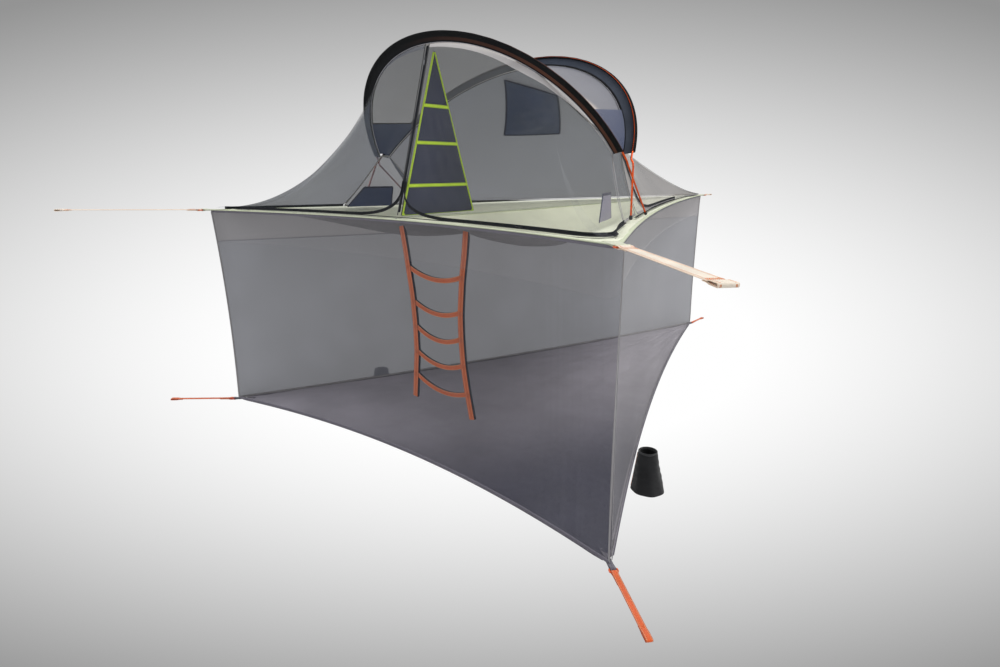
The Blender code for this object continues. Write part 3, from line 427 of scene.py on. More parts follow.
class Form:
    """Gathers several surfaces into one mesh. Points are in tent coordinates."""

    def __init__(self):
        self.v, self.f, self.uv, self.m, self.d = [], [], [], [], []
        self.n = 0

    def points(self, p, d=0.0):
        p = np.asarray(p, float).reshape(-1, 3)
        self.v.append(p)
        self.d.append(np.broadcast_to(np.asarray(d, float).reshape(-1), (len(p),)) if np.ndim(d) == 0 or np.size(d) == 1
                      else np.asarray(d, float).reshape(-1))
        first = self.n
        self.n += len(p)
        return first

    def grid(self, P, uv=None, mat=0, wrap_u=False, wrap_v=False, flip=False, dense=0.0):
        P = np.asarray(P, float)
        a, b = P.shape[:2]
        first = self.points(P, dense)
        if uv is None:
            flat = plane_uv(P).reshape(a, b, 2)
        else:
            flat = np.asarray(uv, float)
        for i in range(a if wrap_u else a - 1):
            for j in range(b if wrap_v else b - 1):
                i2, j2 = i + 1, j + 1
                q = [(i, j), (i, j2), (i2, j2), (i2, j)]
                ids = [first + (r % a) * b + (c % b) for r, c in q]
                uvs = [tuple(flat[min(r, flat.shape[0] - 1), min(c, flat.shape[1] - 1)]) for r, c in q]
                if flip:
                    ids.reverse()
                    uvs.reverse()
                self.f.append(ids)
                self.uv.append(uvs)
                self.m.append(mat)
        return first

    def fan(self, ids, uvs, mat=0):
        self.f.append(list(ids))
        self.uv.append(list(uvs))
        self.m.append(mat)

    def tube(self, p, r, k=10, mat=0, closed=False, caps=True, squash=1.0, ups=None, turn=0.0):
        p = np.asarray(p, float)
        t, side, up = frames_along(p, closed)
        if ups is not None:
            up = np.array([unit(u - tt * np.dot(u, tt)) for u, tt in zip(np.broadcast_to(ups, p.shape), t)])
            side = np.cross(t, up)
        if closed:
            drift = np.arctan2(np.dot(side[0], up[-1]), np.dot(side[0], side[-1]))
            spin = np.linspace(0, drift, len(p) + 1)[:-1]
        else:
            spin = np.zeros(len(p))
        r = np.broadcast_to(np.asarray(r, float), (len(p),))
        ang = np.linspace(0, 2 * math.pi, k + 1)[:-1] + turn
        P = np.empty((len(p), k, 3))
        for i in range(len(p)):
            c, s = np.cos(ang + spin[i]), np.sin(ang + spin[i])
            P[i] = p[i] + r[i] * (np.outer(c, side[i]) + np.outer(s, up[i]) * squash)
        d = along(p, closed)
        uu = d if closed else d[:len(p)]
        vv = np.linspace(0, 2 * math.pi * float(r.mean()), k + 1)
        uv = np.stack(np.meshgrid(uu, vv, indexing="ij"), -1)
        first = self.grid(P, uv, mat, wrap_u=closed, wrap_v=True)
        if caps and not closed:
            n = len(p)
            self.fan([first + j for j in range(k)], [(0.0, 0.001 * j) for j in range(k)], mat)
            self.fan([first + (n - 1) * k + j for j in reversed(range(k))], [(uu[-1], 0.001 * j) for j in range(k)], mat)
        return first

    def tape(self, p, side, up, width, thick, mat=0, closed=False, caps=True, start=0.0):
        """A woven strap: flat, with rounded edges. The second UV number runs across it, zero at its middle."""
        p = np.asarray(p, float)
        n = len(p)
        side = np.array([unit(x) for x in np.broadcast_to(side, p.shape)])
        up = np.array([unit(u - s * np.dot(u, s)) for u, s in zip(np.broadcast_to(up, p.shape), side)])
        w = np.broadcast_to(np.asarray(width, float), (n,)) / 2
        h = thick / 2
        e = min(h * 1.2, float(w.min()) / 3)
        shape = [(-1, 0, -0.35), (-1, e, -1), (0, 0, -1), (1, -e, -1), (1, 0, -0.35), (1, 0, 0.35), (1, -e, 1), (0, 0, 1),
                 (-1, e, 1), (-1, 0, 0.35)]
        k = len(shape)
        P = np.empty((n, k, 3))
        V = np.empty((n, k + 1))
        for j, (a, b, c) in enumerate(shape):
            off = a * w + b
            P[:, j] = p + side * off[:, None] + up * (c * h)
            V[:, j] = off
        V[:, k] = V[:, 0]
        d = along(p, closed) + start
        if closed:
            V = np.vstack([V, V[:1]])
        uv = np.stack([np.repeat(d[:len(V), None], k + 1, 1), V], -1)
        first = self.grid(P, uv, mat, wrap_u=closed, wrap_v=True)
        if caps and not closed:
            self.fan([first + j for j in range(k)], [(d[0], V[0, j]) for j in range(k)], mat)
            self.fan([first + (n - 1) * k + j for j in reversed(range(k))],
                     [(d[-1], V[-1, j]) for j in reversed(range(k))], mat)
        return first

    def slab(self, G, t, top=0, under=0, rim=0, uv=None, dense=0.0):
        """A sheet with its own thickness: upper side, lower side and edge."""
        G = np.asarray(G, float)
        n = normals_of(G)
        a, b = G.shape[:2]
        uv = plane_uv(G).reshape(a, b, 2) if uv is None else np.asarray(uv, float)
        f1 = self.grid(G + n * t / 2, uv, top, dense=dense)
        f2 = self.grid(G - n * t / 2, uv, under, flip=True, dense=dense)
        ring = [(0, j) for j in range(b)] + [(i, b - 1) for i in range(1, a)]
        ring += [(a - 1, j) for j in range(b - 2, -1, -1)] + [(i, 0) for i in range(a - 2, 0, -1)]
        for q in range(len(ring)):
            (i, j), (k, l) = ring[q], ring[(q + 1) % len(ring)]
            self.f.append([f1 + k * b + l, f1 + i * b + j, f2 + i * b + j, f2 + k * b + l])
            self.uv.append([tuple(uv[k, l]), tuple(uv[i, j]), tuple(uv[i, j]), tuple(uv[k, l])])
            self.m.append(rim)
        return f1

    def stitch(self, a, b, up, pitch=0.005, length=0.0034, r=0.00045, mat=0):
        """A row of separate stitches from a to b, each a small thread lying on the cloth."""
        a, b = np.asarray(a, float), np.asarray(b, float)
        d = np.linalg.norm(b - a)
        if d < pitch:
            return
        t, up = (b - a) / d, unit(up)
        side = unit(np.cross(t, up))
        count = int(d / pitch)
        for q in range(count):
            mid = a + t * ((q + 0.5) * d / count)
            P = []
            for x, rr, lift in ((-0.5, 0.35, -0.2), (-0.22, 1.0, 0.6), (0.22, 1.0, 0.6), (0.5, 0.35, -0.2)):
                c = mid + t * (x * length) + up * (r * lift)
                P.append([c + r * rr * (side * math.cos(g) + up * math.sin(g)) for g in (0, 1.257, 2.513, 3.770, 5.027)])
            P = np.array(P)
            self.grid(P, np.zeros((4, 6, 2)) + [[[0.0, 0.0]]], mat, wrap_v=True)

    def build(self, name, mats, body, slot, replaces=(), sharp=38.0, move=None):
        v = np.concatenate(self.v) + SHIFT
        me = bpy.data.meshes.new(name)
        me.from_pydata([tuple(x) for x in v], [], self.f)
        layer = me.uv_layers.new(name="metres")
        flat = np.array([c for face in self.uv for c in face], np.float32).reshape(-1)
        layer.data.foreach_set("uv", flat)
        me.polygons.foreach_set("material_index", np.array(self.m, np.int32))
        dense = np.concatenate(self.d).astype(np.float32)
        if dense.any():
            at = me.attributes.new("dense", "FLOAT", "POINT")
            at.data.foreach_set("value", dense)
        me.update()
        me.validate()
        me.shade_smooth()
        me.set_sharp_from_angle(angle=math.radians(sharp))
        for m in mats:
            me.materials.append(m)
        ob = bpy.data.objects.new(name, me)
        bpy.context.scene.collection.objects.link(ob)
        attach(ob, body)
        if replaces:
            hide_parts(*replaces)
        return ob


SHEETS = []


def cloth_area(ob):
    return sum(p.area for p in ob.data.polygons)


def declare_sheet(ob, layers=1):
    """States the size the panel was cut to: the smallest box round the panel laid flat, and its flat area."""
    p = np.array([v.co for v in ob.data.vertices], float)
    c = p.mean(0)
    _, _, axes = np.linalg.svd((p - c)[:: max(1, len(p) // 500)], full_matrices=False)
    q = (p - c) @ axes[:2].T
    area = cloth_area(ob) / layers
    w, l = (q.max(0) - q.min(0))
    k = math.sqrt(max(1.0, area / (w * l * 0.999)))
    w, l = float(w * k), float(l * k)
    area = max(area, 0.301 * w * l)
    SHEETS.append((ob.name, round(w, 3), round(l, 3), round(area, 3)))


# ================================================================ materials
class Mat:
    def __init__(self, name, rough=0.6, metallic=0.0, spec=0.5):
        self.mat = bpy.data.materials.new(name)
        self.mat.use_nodes = True
        self.nt = self.mat.node_tree
        self.nt.nodes.clear()
        self.out = self.nt.nodes.new("ShaderNodeOutputMaterial")
        self.b = self.nt.nodes.new("ShaderNodeBsdfPrincipled")
        self.nt.links.new(self.b.outputs[0], self.out.inputs[0])
        self.b.inputs["Roughness"].default_value = rough
        self.b.inputs["Metallic"].default_value = metallic
        self.b.inputs["Specular IOR Level"].default_value = spec

    def set(self, name, value):
        self.b.inputs[name].default_value = value
        return self

    def link(self, a, b):
        self.nt.links.new(a, b)

    def put(self, socket, x):
        if hasattr(x, "node"):
            self.link(x, socket)
        else:
            socket.default_value = x

    def math(self, op, a, b=None, c=None):
        n = self.nt.nodes.new("ShaderNodeMath")
        n.operation = op
        for s, x in zip(n.inputs, (a, b, c)):
            if x is not None:
                self.put(s, x)
        return n.outputs[0]

    def uv(self):
        n = self.nt.nodes.new("ShaderNodeUVMap")
        n.uv_map = "metres"
        s = self.nt.nodes.new("ShaderNodeSeparateXYZ")
        self.link(n.outputs[0], s.inputs[0])
        return s.outputs[0], s.outputs[1], n.outputs[0]

    def place(self):
        n = self.nt.nodes.new("ShaderNodeTexCoord")
        s = self.nt.nodes.new("ShaderNodeSeparateXYZ")
        self.link(n.outputs["Object"], s.inputs[0])
        return n.outputs["Object"], s.outputs

    def noise(self, vec, scale, detail=3.0, rough=0.55):
        n = self.nt.nodes.new("ShaderNodeTexNoise")
        n.inputs["Scale"].default_value = scale
        n.inputs["Detail"].default_value = detail
        n.inputs["Roughness"].default_value = rough
        if vec is not None:
            self.link(vec, n.inputs["Vector"])
        return n.outputs[0]

    def ramp(self, x, lo, hi, a=0.0, b=1.0, smooth=True):
        n = self.nt.nodes.new("ShaderNodeMapRange")
        n.interpolation_type = "SMOOTHSTEP" if smooth else "LINEAR"
        n.clamp = True
        self.put(n.inputs["Value"], x)
        n.inputs["From Min"].default_value = lo
        n.inputs["From Max"].default_value = hi
        n.inputs["To Min"].default_value = a
        n.inputs["To Max"].default_value = b
        return n.outputs[0]

    def mix(self, f, a, b):
        n = self.nt.nodes.new("ShaderNodeMix")
        n.data_type = "RGBA"
        self.put(n.inputs[0], f)
        for s, x in ((n.inputs[6], a), (n.inputs[7], b)):
            if hasattr(x, "node"):
                self.link(x, s)
            else:
                s.default_value = (*x[:3], 1.0)
        return n.outputs[2]

    def shade(self, colour, k):
        """The colour times one number."""
        n = self.nt.nodes.new("ShaderNodeVectorMath")
        n.operation = "SCALE"
        if hasattr(colour, "node"):
            self.link(colour, n.inputs[0])
        else:
            n.inputs[0].default_value = colour[:3]
        self.put(n.inputs["Scale"], k)
        return n.outputs[0]

    def bump(self, height, distance, strength=1.0):
        n = self.nt.nodes.new("ShaderNodeBump")
        n.inputs["Distance"].default_value = distance
        n.inputs["Strength"].default_value = strength
        self.link(height, n.inputs["Height"])
        self.link(n.outputs[0], self.b.inputs["Normal"])
        return self

    def attr(self, name):
        n = self.nt.nodes.new("ShaderNodeAttribute")
        n.attribute_name = name
        return n.outputs["Fac"]

    def colour(self, x):
        self.put_colour(x)
        return self

    def put_colour(self, x):
        if hasattr(x, "node"):
            self.link(x, self.b.inputs["Base Color"])
        else:
            self.b.inputs["Base Color"].default_value = (*x[:3], 1.0)

    def weave(self, pu, pv=None):
        """Warp and weft as a signed pattern between -1 and 1, of these pitches in metres."""
        u, v, _ = self.uv()
        a = self.math("SINE", self.math("MULTIPLY", u, 2 * math.pi / pu))
        b = self.math("SINE", self.math("MULTIPLY", v, 2 * math.pi / (pv or pu)))
        return self.math("MULTIPLY", a, b)


def net(name, clear, dense, clear_a, dense_a, warm=None, rough=0.55, streaks=None, band=None):
    """Insect netting. The mesh attribute says how closely it is woven at each point, from 0 to 1. On the roof its clear
    end is a pale painted reflection and its dense colour a painted shade.
    """
    m = Mat(name, rough=rough, spec=0.35)
    obj, xyz = m.place()
    k = m.attr("dense")
    w = m.weave(0.0012)
    big = m.noise(obj, 1.6, 2.0)
    c = m.mix(k, clear, dense)
    c = m.shade(c, m.ramp(big, 0.3, 0.7, 0.90, 1.10))
    if warm is not None:
        c = m.mix(m.ramp(m.noise(obj, 2.3, 1.0), 0.46, 0.62, 0.0, warm[1]), c, warm[0])
    a = m.math("ADD", m.math("MULTIPLY", k, dense_a - clear_a), clear_a)
    a = m.math("ADD", a, m.math("MULTIPLY", w, 0.012))
    if streaks:
        u, v, _ = m.uv()
        fine = m.noise(None, 1.0, 2.0)
        n = m.nt.nodes.new("ShaderNodeCombineXYZ")
        m.link(m.math("MULTIPLY", xyz[0], 55.0), n.inputs[0])
        m.link(m.math("MULTIPLY", xyz[2], 0.5), n.inputs[2])
        fine = m.noise(n.outputs[0], 1.0, 2.0)
        near = m.ramp(xyz[0], streaks[0], streaks[1])
        a = m.math("ADD", a, m.math("MULTIPLY", near, m.ramp(fine, 0.42, 0.72, 0.0, streaks[2])))
    if band:
        top = m.ramp(xyz[2], band[0] - 0.003, band[0] + 0.003)
        a = m.math("ADD", a, m.math("MULTIPLY", top, band[1]))
        line = m.math("LESS_THAN", m.math("ABSOLUTE", m.math("SUBTRACT", xyz[2], band[0])), 0.004)
        a = m.math("ADD", a, m.math("MULTIPLY", line, 0.10))
        c = m.mix(m.math("MULTIPLY", top, 0.35), c, (0.42, 0.38, 0.37))
    m.put_colour(c)
    m.link(m.math("MINIMUM", m.math("MAXIMUM", a, 0.02), 0.98), m.b.inputs["Alpha"])
    m.bump(w, 0.00008, 0.35)
    return m.mat


def cloth(name, colour, rough=0.7, pitch=0.0016, grid=None, vary=0.10, sheen=0.2, tint=None, spec=0.4, wear=None, bump=0.00025,
          fade=None):
    m = Mat(name, rough=rough, spec=spec)
    obj, xyz = m.place()
    w = m.weave(pitch)
    base = colour
    # fade darkens the colour towards fade[3] along one direction: painted shade
    if fade:
        t = m.math("ADD", m.math("MULTIPLY", xyz[0], fade[0][0]), m.math("MULTIPLY", xyz[1], fade[0][1]))
        base = m.mix(m.math("POWER", m.ramp(t, fade[1], fade[2]), 1.8), colour, fade[3])
    c = m.shade(base, m.ramp(m.noise(obj, 3.2, 4.0), 0.28, 0.72, 1 - vary, 1 + vary))
    c = m.shade(c, m.math("ADD", m.math("MULTIPLY", w, 0.07), 1.0))
    h = w
    if grid:
        u, v, _ = m.uv()
        lines = []
        for x in (u, v):
            d = m.math("ABSOLUTE", m.math("SUBTRACT", m.math("FRACT", m.math("DIVIDE", x, grid)), 0.5))
            lines.append(m.math("GREATER_THAN", d, 0.455))
        g = m.math("MAXIMUM", lines[0], lines[1])
        c = m.mix(m.math("MULTIPLY", g, 0.16), c, tint or tuple(min(1.0, x * 1.35) for x in colour))
        h = m.math("ADD", w, m.math("MULTIPLY", g, 1.5))
    if wear:
        c = m.mix(m.ramp(m.noise(obj, 9.0, 6.0), 0.58, 0.78, 0.0, wear[1]), c, wear[0])
    m.put_colour(c)
    m.link(m.ramp(m.noise(obj, 14.0, 3.0), 0.3, 0.7, rough - 0.06, rough + 0.06), m.b.inputs["Roughness"])
    m.bump(h, bump, 0.8)
    m.set("Sheen Weight", sheen)
    return m.mat


def webbing(name, colour, width, stitch=None, stripe=None, edge=None, rough=0.72, rib=0.0022, rows=None, dash=0.0065, sides=1.0):
    """Flat webbing: slanted ribs, darker edges, an optional centre stripe, and rows of stitches along both edges."""
    m = Mat(name, rough=rough, spec=0.35)
    obj, xyz = m.place()
    u, v, _ = m.uv()
    av = m.math("ABSOLUTE", v)
    phase = m.math("ADD", m.math("MULTIPLY", u, 2 * math.pi / rib), m.math("MULTIPLY", av, 2 * math.pi / (rib * 1.6)))
    ribs = m.math("SINE", phase)
    fine = m.math("SINE", m.math("MULTIPLY", v, 2 * math.pi / 0.0013))
    h = m.math("ADD", ribs, m.math("MULTIPLY", fine, 0.35))
    c = m.shade(colour, m.ramp(m.noise(obj, 7.0, 4.0), 0.25, 0.75, 0.90, 1.08))
    c = m.shade(c, m.math("ADD", m.math("MULTIPLY", ribs, 0.08), 1.0))
    c = m.mix(m.ramp(av, width / 2 - 0.0035, width / 2 - 0.0008, 0.0, 0.55), c, edge or tuple(x * 0.6 for x in colour))
    if stripe:
        c = m.mix(m.math("LESS_THAN", av, stripe[1] / 2), c, stripe[0])
    if stitch:
        mask = None
        for at in (rows or (width / 2 - 0.005,)):
            row = m.math("LESS_THAN", m.math("ABSOLUTE", m.math("SUBTRACT", av if sides else v, at)), 0.00085)
            mask = row if mask is None else m.math("MAXIMUM", mask, row)
        on = m.math("LESS_THAN", m.math("FRACT", m.math("DIVIDE", u, dash)), 0.62)
        mask = m.math("MULTIPLY", mask, on)
        c = m.mix(mask, c, stitch)
        h = m.math("ADD", h, m.math("MULTIPLY", mask, 2.0))
    m.put_colour(c)
    m.link(m.ramp(m.noise(obj, 30.0, 2.0), 0.3, 0.7, rough - 0.05, rough + 0.08), m.b.inputs["Roughness"])
    m.bump(h, 0.0004, 0.8)
    m.set("Sheen Weight", 0.25)
    return m.mat


def zipper(name, tape_colour, coil_colour, coil_w=0.006):
    m = Mat(name, rough=0.6, spec=0.2)
    obj, xyz = m.place()
    u, v, _ = m.uv()
    av = m.math("ABSOLUTE", v)
    coil = m.ramp(av, coil_w / 2 + 0.0003, coil_w / 2 - 0.0003)
    teeth = m.math("SINE", m.math("ADD", m.math("MULTIPLY", u, 2 * math.pi / 0.0016), m.math("MULTIPLY", av, 700.0)))
    ribs = m.math("SINE", m.math("MULTIPLY", u, 2 * math.pi / 0.0011))
    c = m.shade(tape_colour, m.math("ADD", m.math("MULTIPLY", ribs, 0.12), 1.0))
    c = m.shade(c, m.ramp(m.noise(obj, 12.0, 3.0), 0.3, 0.7, 0.85, 1.15))
    c = m.mix(coil, c, m.shade(coil_colour, m.math("ADD", m.math("MULTIPLY", teeth, 0.35), 1.0)))
    m.put_colour(c)
    h = m.math("ADD", m.math("MULTIPLY", coil, m.math("ADD", m.math("MULTIPLY", teeth, 0.8), 2.0)), m.math("MULTIPLY", ribs, 0.2))
    m.link(m.ramp(coil, 0.0, 1.0, 0.78, 0.55), m.b.inputs["Roughness"])
    m.bump(h, 0.0004, 0.9)
    return m.mat


def hard(name, colour, rough, metallic=0.0, brush=0.0, wear=None, coat=0.0, spec=0.5, scale=60.0):
    m = Mat(name, rough=rough, metallic=metallic, spec=spec)
    obj, xyz = m.place()
    n = m.noise(obj, scale, 5.0, 0.65)
    c = m.shade(colour, m.ramp(n, 0.3, 0.7, 0.90, 1.08))
    if wear:
        c = m.mix(m.ramp(m.noise(obj, scale * 2.2, 6.0, 0.7), 0.62, 0.72, 0.0, wear[1]), c, wear[0])
    m.put_colour(c)
    m.link(m.ramp(n, 0.25, 0.75, max(0.05, rough - 0.08), rough + 0.10), m.b.inputs["Roughness"])
    m.bump(m.noise(obj, scale * 5, 3.0), 0.0001, 0.4 + brush)
    if coat:
        m.set("Coat Weight", coat)
    return m.mat


# ================================================================ camera and studio
CAMERA_AT = np.array([2.319, -2.942, 0.233])
YAW, PITCH = math.radians(130.09), math.radians(14.72)
FORWARD = np.array([math.cos(YAW) * math.cos(PITCH), math.sin(YAW) * math.cos(PITCH), -math.sin(PITCH)])
RIGHT = unit(np.cross(FORWARD, (0, 0, 1)))
DOWN = np.cross(FORWARD, RIGHT)

cam_data = bpy.data.cameras.new("camera")
cam_data.sensor_width = 36.0
cam_data.lens = 22.69
cam_data.clip_start, cam_data.clip_end = 0.05, 100.0
cam = bpy.data.objects.new("camera", cam_data)
bpy.context.scene.collection.objects.link(cam)
cam.location = CAMERA_AT
cam.rotation_euler = Vector(FORWARD).to_track_quat("-Z", "Y").to_euler()
bpy.context.scene.camera = cam

scene = bpy.context.scene
scene.view_settings.view_transform = "Standard"
scene.view_settings.look = "None"
scene.cycles.transparent_max_bounces = 28
scene.cycles.max_bounces = 8

world = bpy.data.worlds.new("studio")
scene.world = world
world.use_nodes = True
world.node_tree.nodes["Background"].inputs[0].default_value = (1.0, 1.0, 1.0, 1.0)
world.node_tree.nodes["Background"].inputs[1].default_value = 0.72


def area_light(name, at, aim, size, power, colour=(1, 1, 1)):
    data = bpy.data.lights.new(name, "AREA")
    data.shape = "DISK"
    data.size = size
    data.energy = power
    data.color = colour
    ob = bpy.data.objects.new(name, data)
    scene.collection.objects.link(ob)
    ob.location = at
    ob.rotation_euler = (Vector(aim) - Vector(at)).to_track_quat("-Z", "Y").to_euler()
    ob.visible_camera = False
    return ob


area_light("key_light", (3.4, 0.4, 4.6), (0, 0, 0), 3.2, 190.0, (1.0, 0.985, 0.96))
area_light("fill_light", (-3.2, -3.4, 2.6), (0, -0.2, -0.2), 3.0, 60.0, (0.95, 0.975, 1.0))

# one backdrop: a wide dome whose lower part is the flat pale floor; it glows by itself with a painted pool of light,
# white in the middle of the view and greyer towards its edges
rings, segs, radius, floor_z = 48, 96, 14.0, -2.4
bv, bf = [], []
for i in range(rings + 1):
    polar = math.pi * i / rings
    for j in range(segs):
        az = 2 * math.pi * j / segs
        z = radius * math.cos(polar)
        x, y = radius * math.sin(polar) * math.cos(az), radius * math.sin(polar) * math.sin(az)
        bv.append((x, y, max(z, floor_z)))
for i in range(rings):
    for j in range(segs):
        a, b = i * segs + j, i * segs + (j + 1) % segs
        bf.append((a, a + segs, b + segs, b))
me = bpy.data.meshes.new("studio_backdrop")
me.from_pydata(bv, [], bf)
me.shade_smooth()
backdrop = bpy.data.objects.new("studio_backdrop", me)
scene.collection.objects.link(backdrop)
mat = bpy.data.materials.new("studio_paper")
mat.use_nodes = True
nt = mat.node_tree
nt.nodes.clear()


def bnode(op, a, b=None, c=None, clamp=False):
    n = nt.nodes.new("ShaderNodeMath")
    n.operation = op
    n.use_clamp = clamp
    for s, x in zip(n.inputs, (a, b, c)):
        if x is None:
            continue
        if hasattr(x, "node"):
            nt.links.new(x, s)
        else:
            s.default_value = x
    return n.outputs[0]


tc = nt.nodes.new("ShaderNodeTexCoord")
rel = nt.nodes.new("ShaderNodeVectorMath")
rel.operation = "SUBTRACT"
nt.links.new(tc.outputs["Object"], rel.inputs[0])
rel.inputs[1].default_value = CAMERA_AT


def along_axis(axis):
    n = nt.nodes.new("ShaderNodeVectorMath")
    n.operation = "DOT_PRODUCT"
    nt.links.new(rel.outputs[0], n.inputs[0])
    n.inputs[1].default_value = axis
    return n.outputs["Value"]


ln = nt.nodes.new("ShaderNodeVectorMath")
ln.operation = "LENGTH"
nt.links.new(rel.outputs[0], ln.inputs[0])
zf = along_axis(FORWARD)
zs = bnode("MAXIMUM", zf, 0.5)
px = bnode("MULTIPLY", bnode("DIVIDE", along_axis(RIGHT), zs), 1.2604)
py = bnode("SUBTRACT", bnode("MULTIPLY", bnode("DIVIDE", along_axis(DOWN), zs), 1.2604), 0.03)
# painted pool of light: the glow falls from white at the middle of the view to grey towards its edges
r2 = bnode("ADD", bnode("MULTIPLY", bnode("MULTIPLY", px, px), 0.16), bnode("MULTIPLY", py, py))
r2 = bnode("MINIMUM", r2, 0.62)
grey = bnode("ADD", bnode("MULTIPLY", r2, -238.11 / 255), 264.65 / 255)
grey = bnode("ADD", grey, bnode("MULTIPLY", bnode("MULTIPLY", r2, r2), 79.75 / 255))
grey = bnode("MINIMUM", grey, 1.0)
mr = nt.nodes.new("ShaderNodeMapRange")
mr.interpolation_type = "SMOOTHSTEP"
nt.links.new(bnode("DIVIDE", zf, ln.outputs["Value"]), mr.inputs["Value"])
mr.inputs["From Min"].default_value, mr.inputs["From Max"].default_value = 0.40, 0.70
mr.inputs["To Min"].default_value, mr.inputs["To Max"].default_value = 0.0, 1.0
grey = bnode("ADD", bnode("MULTIPLY", bnode("SUBTRACT", grey, 0.87), mr.outputs[0]), 0.87)
lin_grey = bnode("POWER", bnode("DIVIDE", bnode("ADD", grey, 0.055), 1.055), 2.4)
em = nt.nodes.new("ShaderNodeEmission")
comb = nt.nodes.new("ShaderNodeCombineXYZ")
for k in range(3):
    nt.links.new(lin_grey, comb.inputs[k])
nt.links.new(comb.outputs[0], em.inputs["Color"])
mo = nt.nodes.new("ShaderNodeOutputMaterial")
nt.links.new(em.outputs[0], mo.inputs[0])
me.materials.append(mat)
backdrop.visible_diffuse = backdrop.visible_glossy = backdrop.visible_transmission = backdrop.visible_shadow = False


def srgb(r, g, b):
    return tuple(((c / 255 + 0.055) / 1.055) ** 2.4 if c > 10 else c / 255 / 12.92 for c in (r, g, b))


# ================================================================ materials of this tent
GREYNET = srgb(104, 108, 118)
M = {}
M["net"] = net("canopy_netting", (0.30, 0.31, 0.34), (0.126, 0.144, 0.212), 0.036, 0.86)
M["net_far"] = net("rear_canopy_netting", (0.30, 0.31, 0.34), (0.098, 0.110, 0.160), 0.036, 0.87)
# rear right canopy: a pale warm grey, a painted highlight on see-through netting
M["net_warm"] = net("canopy_netting_rear_right_painted_highlight", (0.52, 0.49, 0.47), (0.45, 0.42, 0.41), 0.38, 0.60)
# roof: the pale warm clear colour is a painted reflection, and the dense colour is darkened below the other netting as
# painted shade against the light from above
M["net_roof"] = net("roof_netting_painted_light", (0.85, 0.70, 0.60), (0.105, 0.117, 0.155), 0.30, 0.84)
M["wall_net"] = net("front_wall_netting", (0.19, 0.19, 0.215), (0.17, 0.175, 0.19), 0.045, 0.84,
                    streaks=(0.55, 1.25, 0.07), band=(-0.180, 0.06))
M["wall_net_left"] = net("left_wall_netting", (0.225, 0.232, 0.262), (0.220, 0.228, 0.260), 0.84, 0.90, band=(-0.180, 0.02))
# right wall: a pale colour, painted light where the wall faces the light from the right
M["wall_net_right_painted_light"] = net("right_wall_netting_painted_light", (0.72, 0.70, 0.70), (0.72, 0.70, 0.70), 0.15, 0.18, band=(-0.150, 0.08))
# pale pinkish-white strip along the arch on the right door: the reinforcement coloured with a painted sheen streak
M["band"] = net("arch_reinforcement", (0.86, 0.82, 0.82), (0.86, 0.82, 0.82), 0.52, 0.52)
M["band_dark"] = net("arch_reinforcement_left", (0.075, 0.083, 0.115), (0.075, 0.083, 0.115), 0.62, 0.62)
M["floor_top"] = cloth("coated_floor_cloth", (0.86, 0.89, 0.70), 0.48, 0.0014, grid=0.0085, vary=0.07, sheen=0.15)
M["floor_under"] = cloth("floor_cloth_underside", (0.105, 0.102, 0.112), 0.6, 0.0014, grid=0.0085, vary=0.10)
M["floor_rim"] = cloth("floor_hem", (0.66, 0.72, 0.50), 0.7, 0.0012)
# lower floor: painted shade, darker towards its right front corner
M["lower_top"] = cloth("lower_floor_cloth", (0.362, 0.338, 0.390), 0.46, 0.0015, grid=0.0085, vary=0.10, sheen=0.1, spec=0.5,
                       fade=((1.0, -0.47), -0.73, 1.27, (0.036, 0.036, 0.062)), tint=(0.20, 0.19, 0.23))
M["lower_under"] = cloth("lower_floor_underside", (0.060, 0.058, 0.068), 0.6, 0.0015, grid=0.0085)
M["navy"] = cloth("navy_cloth", (0.037, 0.053, 0.120), 0.72, 0.0013, vary=0.14, sheen=0.35, wear=((0.09, 0.10, 0.14), 0.35))
M["navy_soft"] = cloth("organiser_cloth", (0.024, 0.029, 0.060), 0.75, 0.0012, vary=0.14, sheen=0.20)
M["lavender"] = cloth("floor_pocket_cloth", (0.20, 0.19, 0.26), 0.7, 0.0013, vary=0.12, sheen=0.3)
M["black"] = cloth("black_cloth", (0.0075, 0.0080, 0.0100), 0.7, 0.0013, vary=0.25, sheen=0.16, spec=0.25, wear=((0.018, 0.018, 0.021), 0.4))
M["black_tape"] = webbing("black_binding", (0.014, 0.015, 0.018), 0.012, stitch=(0.05, 0.05, 0.055), rows=(0.0028,))
M["lime"] = webbing("lime_binding", srgb(196, 232, 30), 0.016, stitch=(0.30, 0.42, 0.03), rows=(0.0055,))
M["lime_edge"] = webbing("lime_edge_binding", srgb(196, 232, 30), 0.009, stitch=(0.30, 0.42, 0.03), rows=(0.002,))
M["edge"] = webbing("floor_edge_webbing", (0.66, 0.72, 0.50), 0.018, stitch=(0.90, 0.92, 0.80), rows=(0.0065,))
M["edge_loop"] = webbing("corner_loop_webbing", (0.70, 0.74, 0.55), 0.050, stitch=(0.92, 0.93, 0.82), rows=(0.020, 0.010))
M["centre"] = webbing("floor_centre_webbing", (0.70, 0.76, 0.56), 0.050, stripe=((0.040, 0.050, 0.110), 0.007),
                      stitch=(0.90, 0.92, 0.80), rows=(0.021,))
M["low_edge"] = webbing("lower_edge_webbing", (0.125, 0.115, 0.150), 0.018, stitch=(0.30, 0.28, 0.34), rows=(0.0065,))
M["cream"] = webbing("anchor_webbing", (0.93, 0.83, 0.70), 0.050, stitch=(0.80, 0.22, 0.04), rows=(0.019, 0.0165),
                     edge=(0.80, 0.50, 0.30), dash=0.009)
M["orange"] = webbing("lower_anchor_webbing", srgb(236, 100, 38), 0.024, stitch=(0.90, 0.50, 0.25), rows=(0.0085,),
                      edge=(0.30, 0.06, 0.02), dash=0.007)
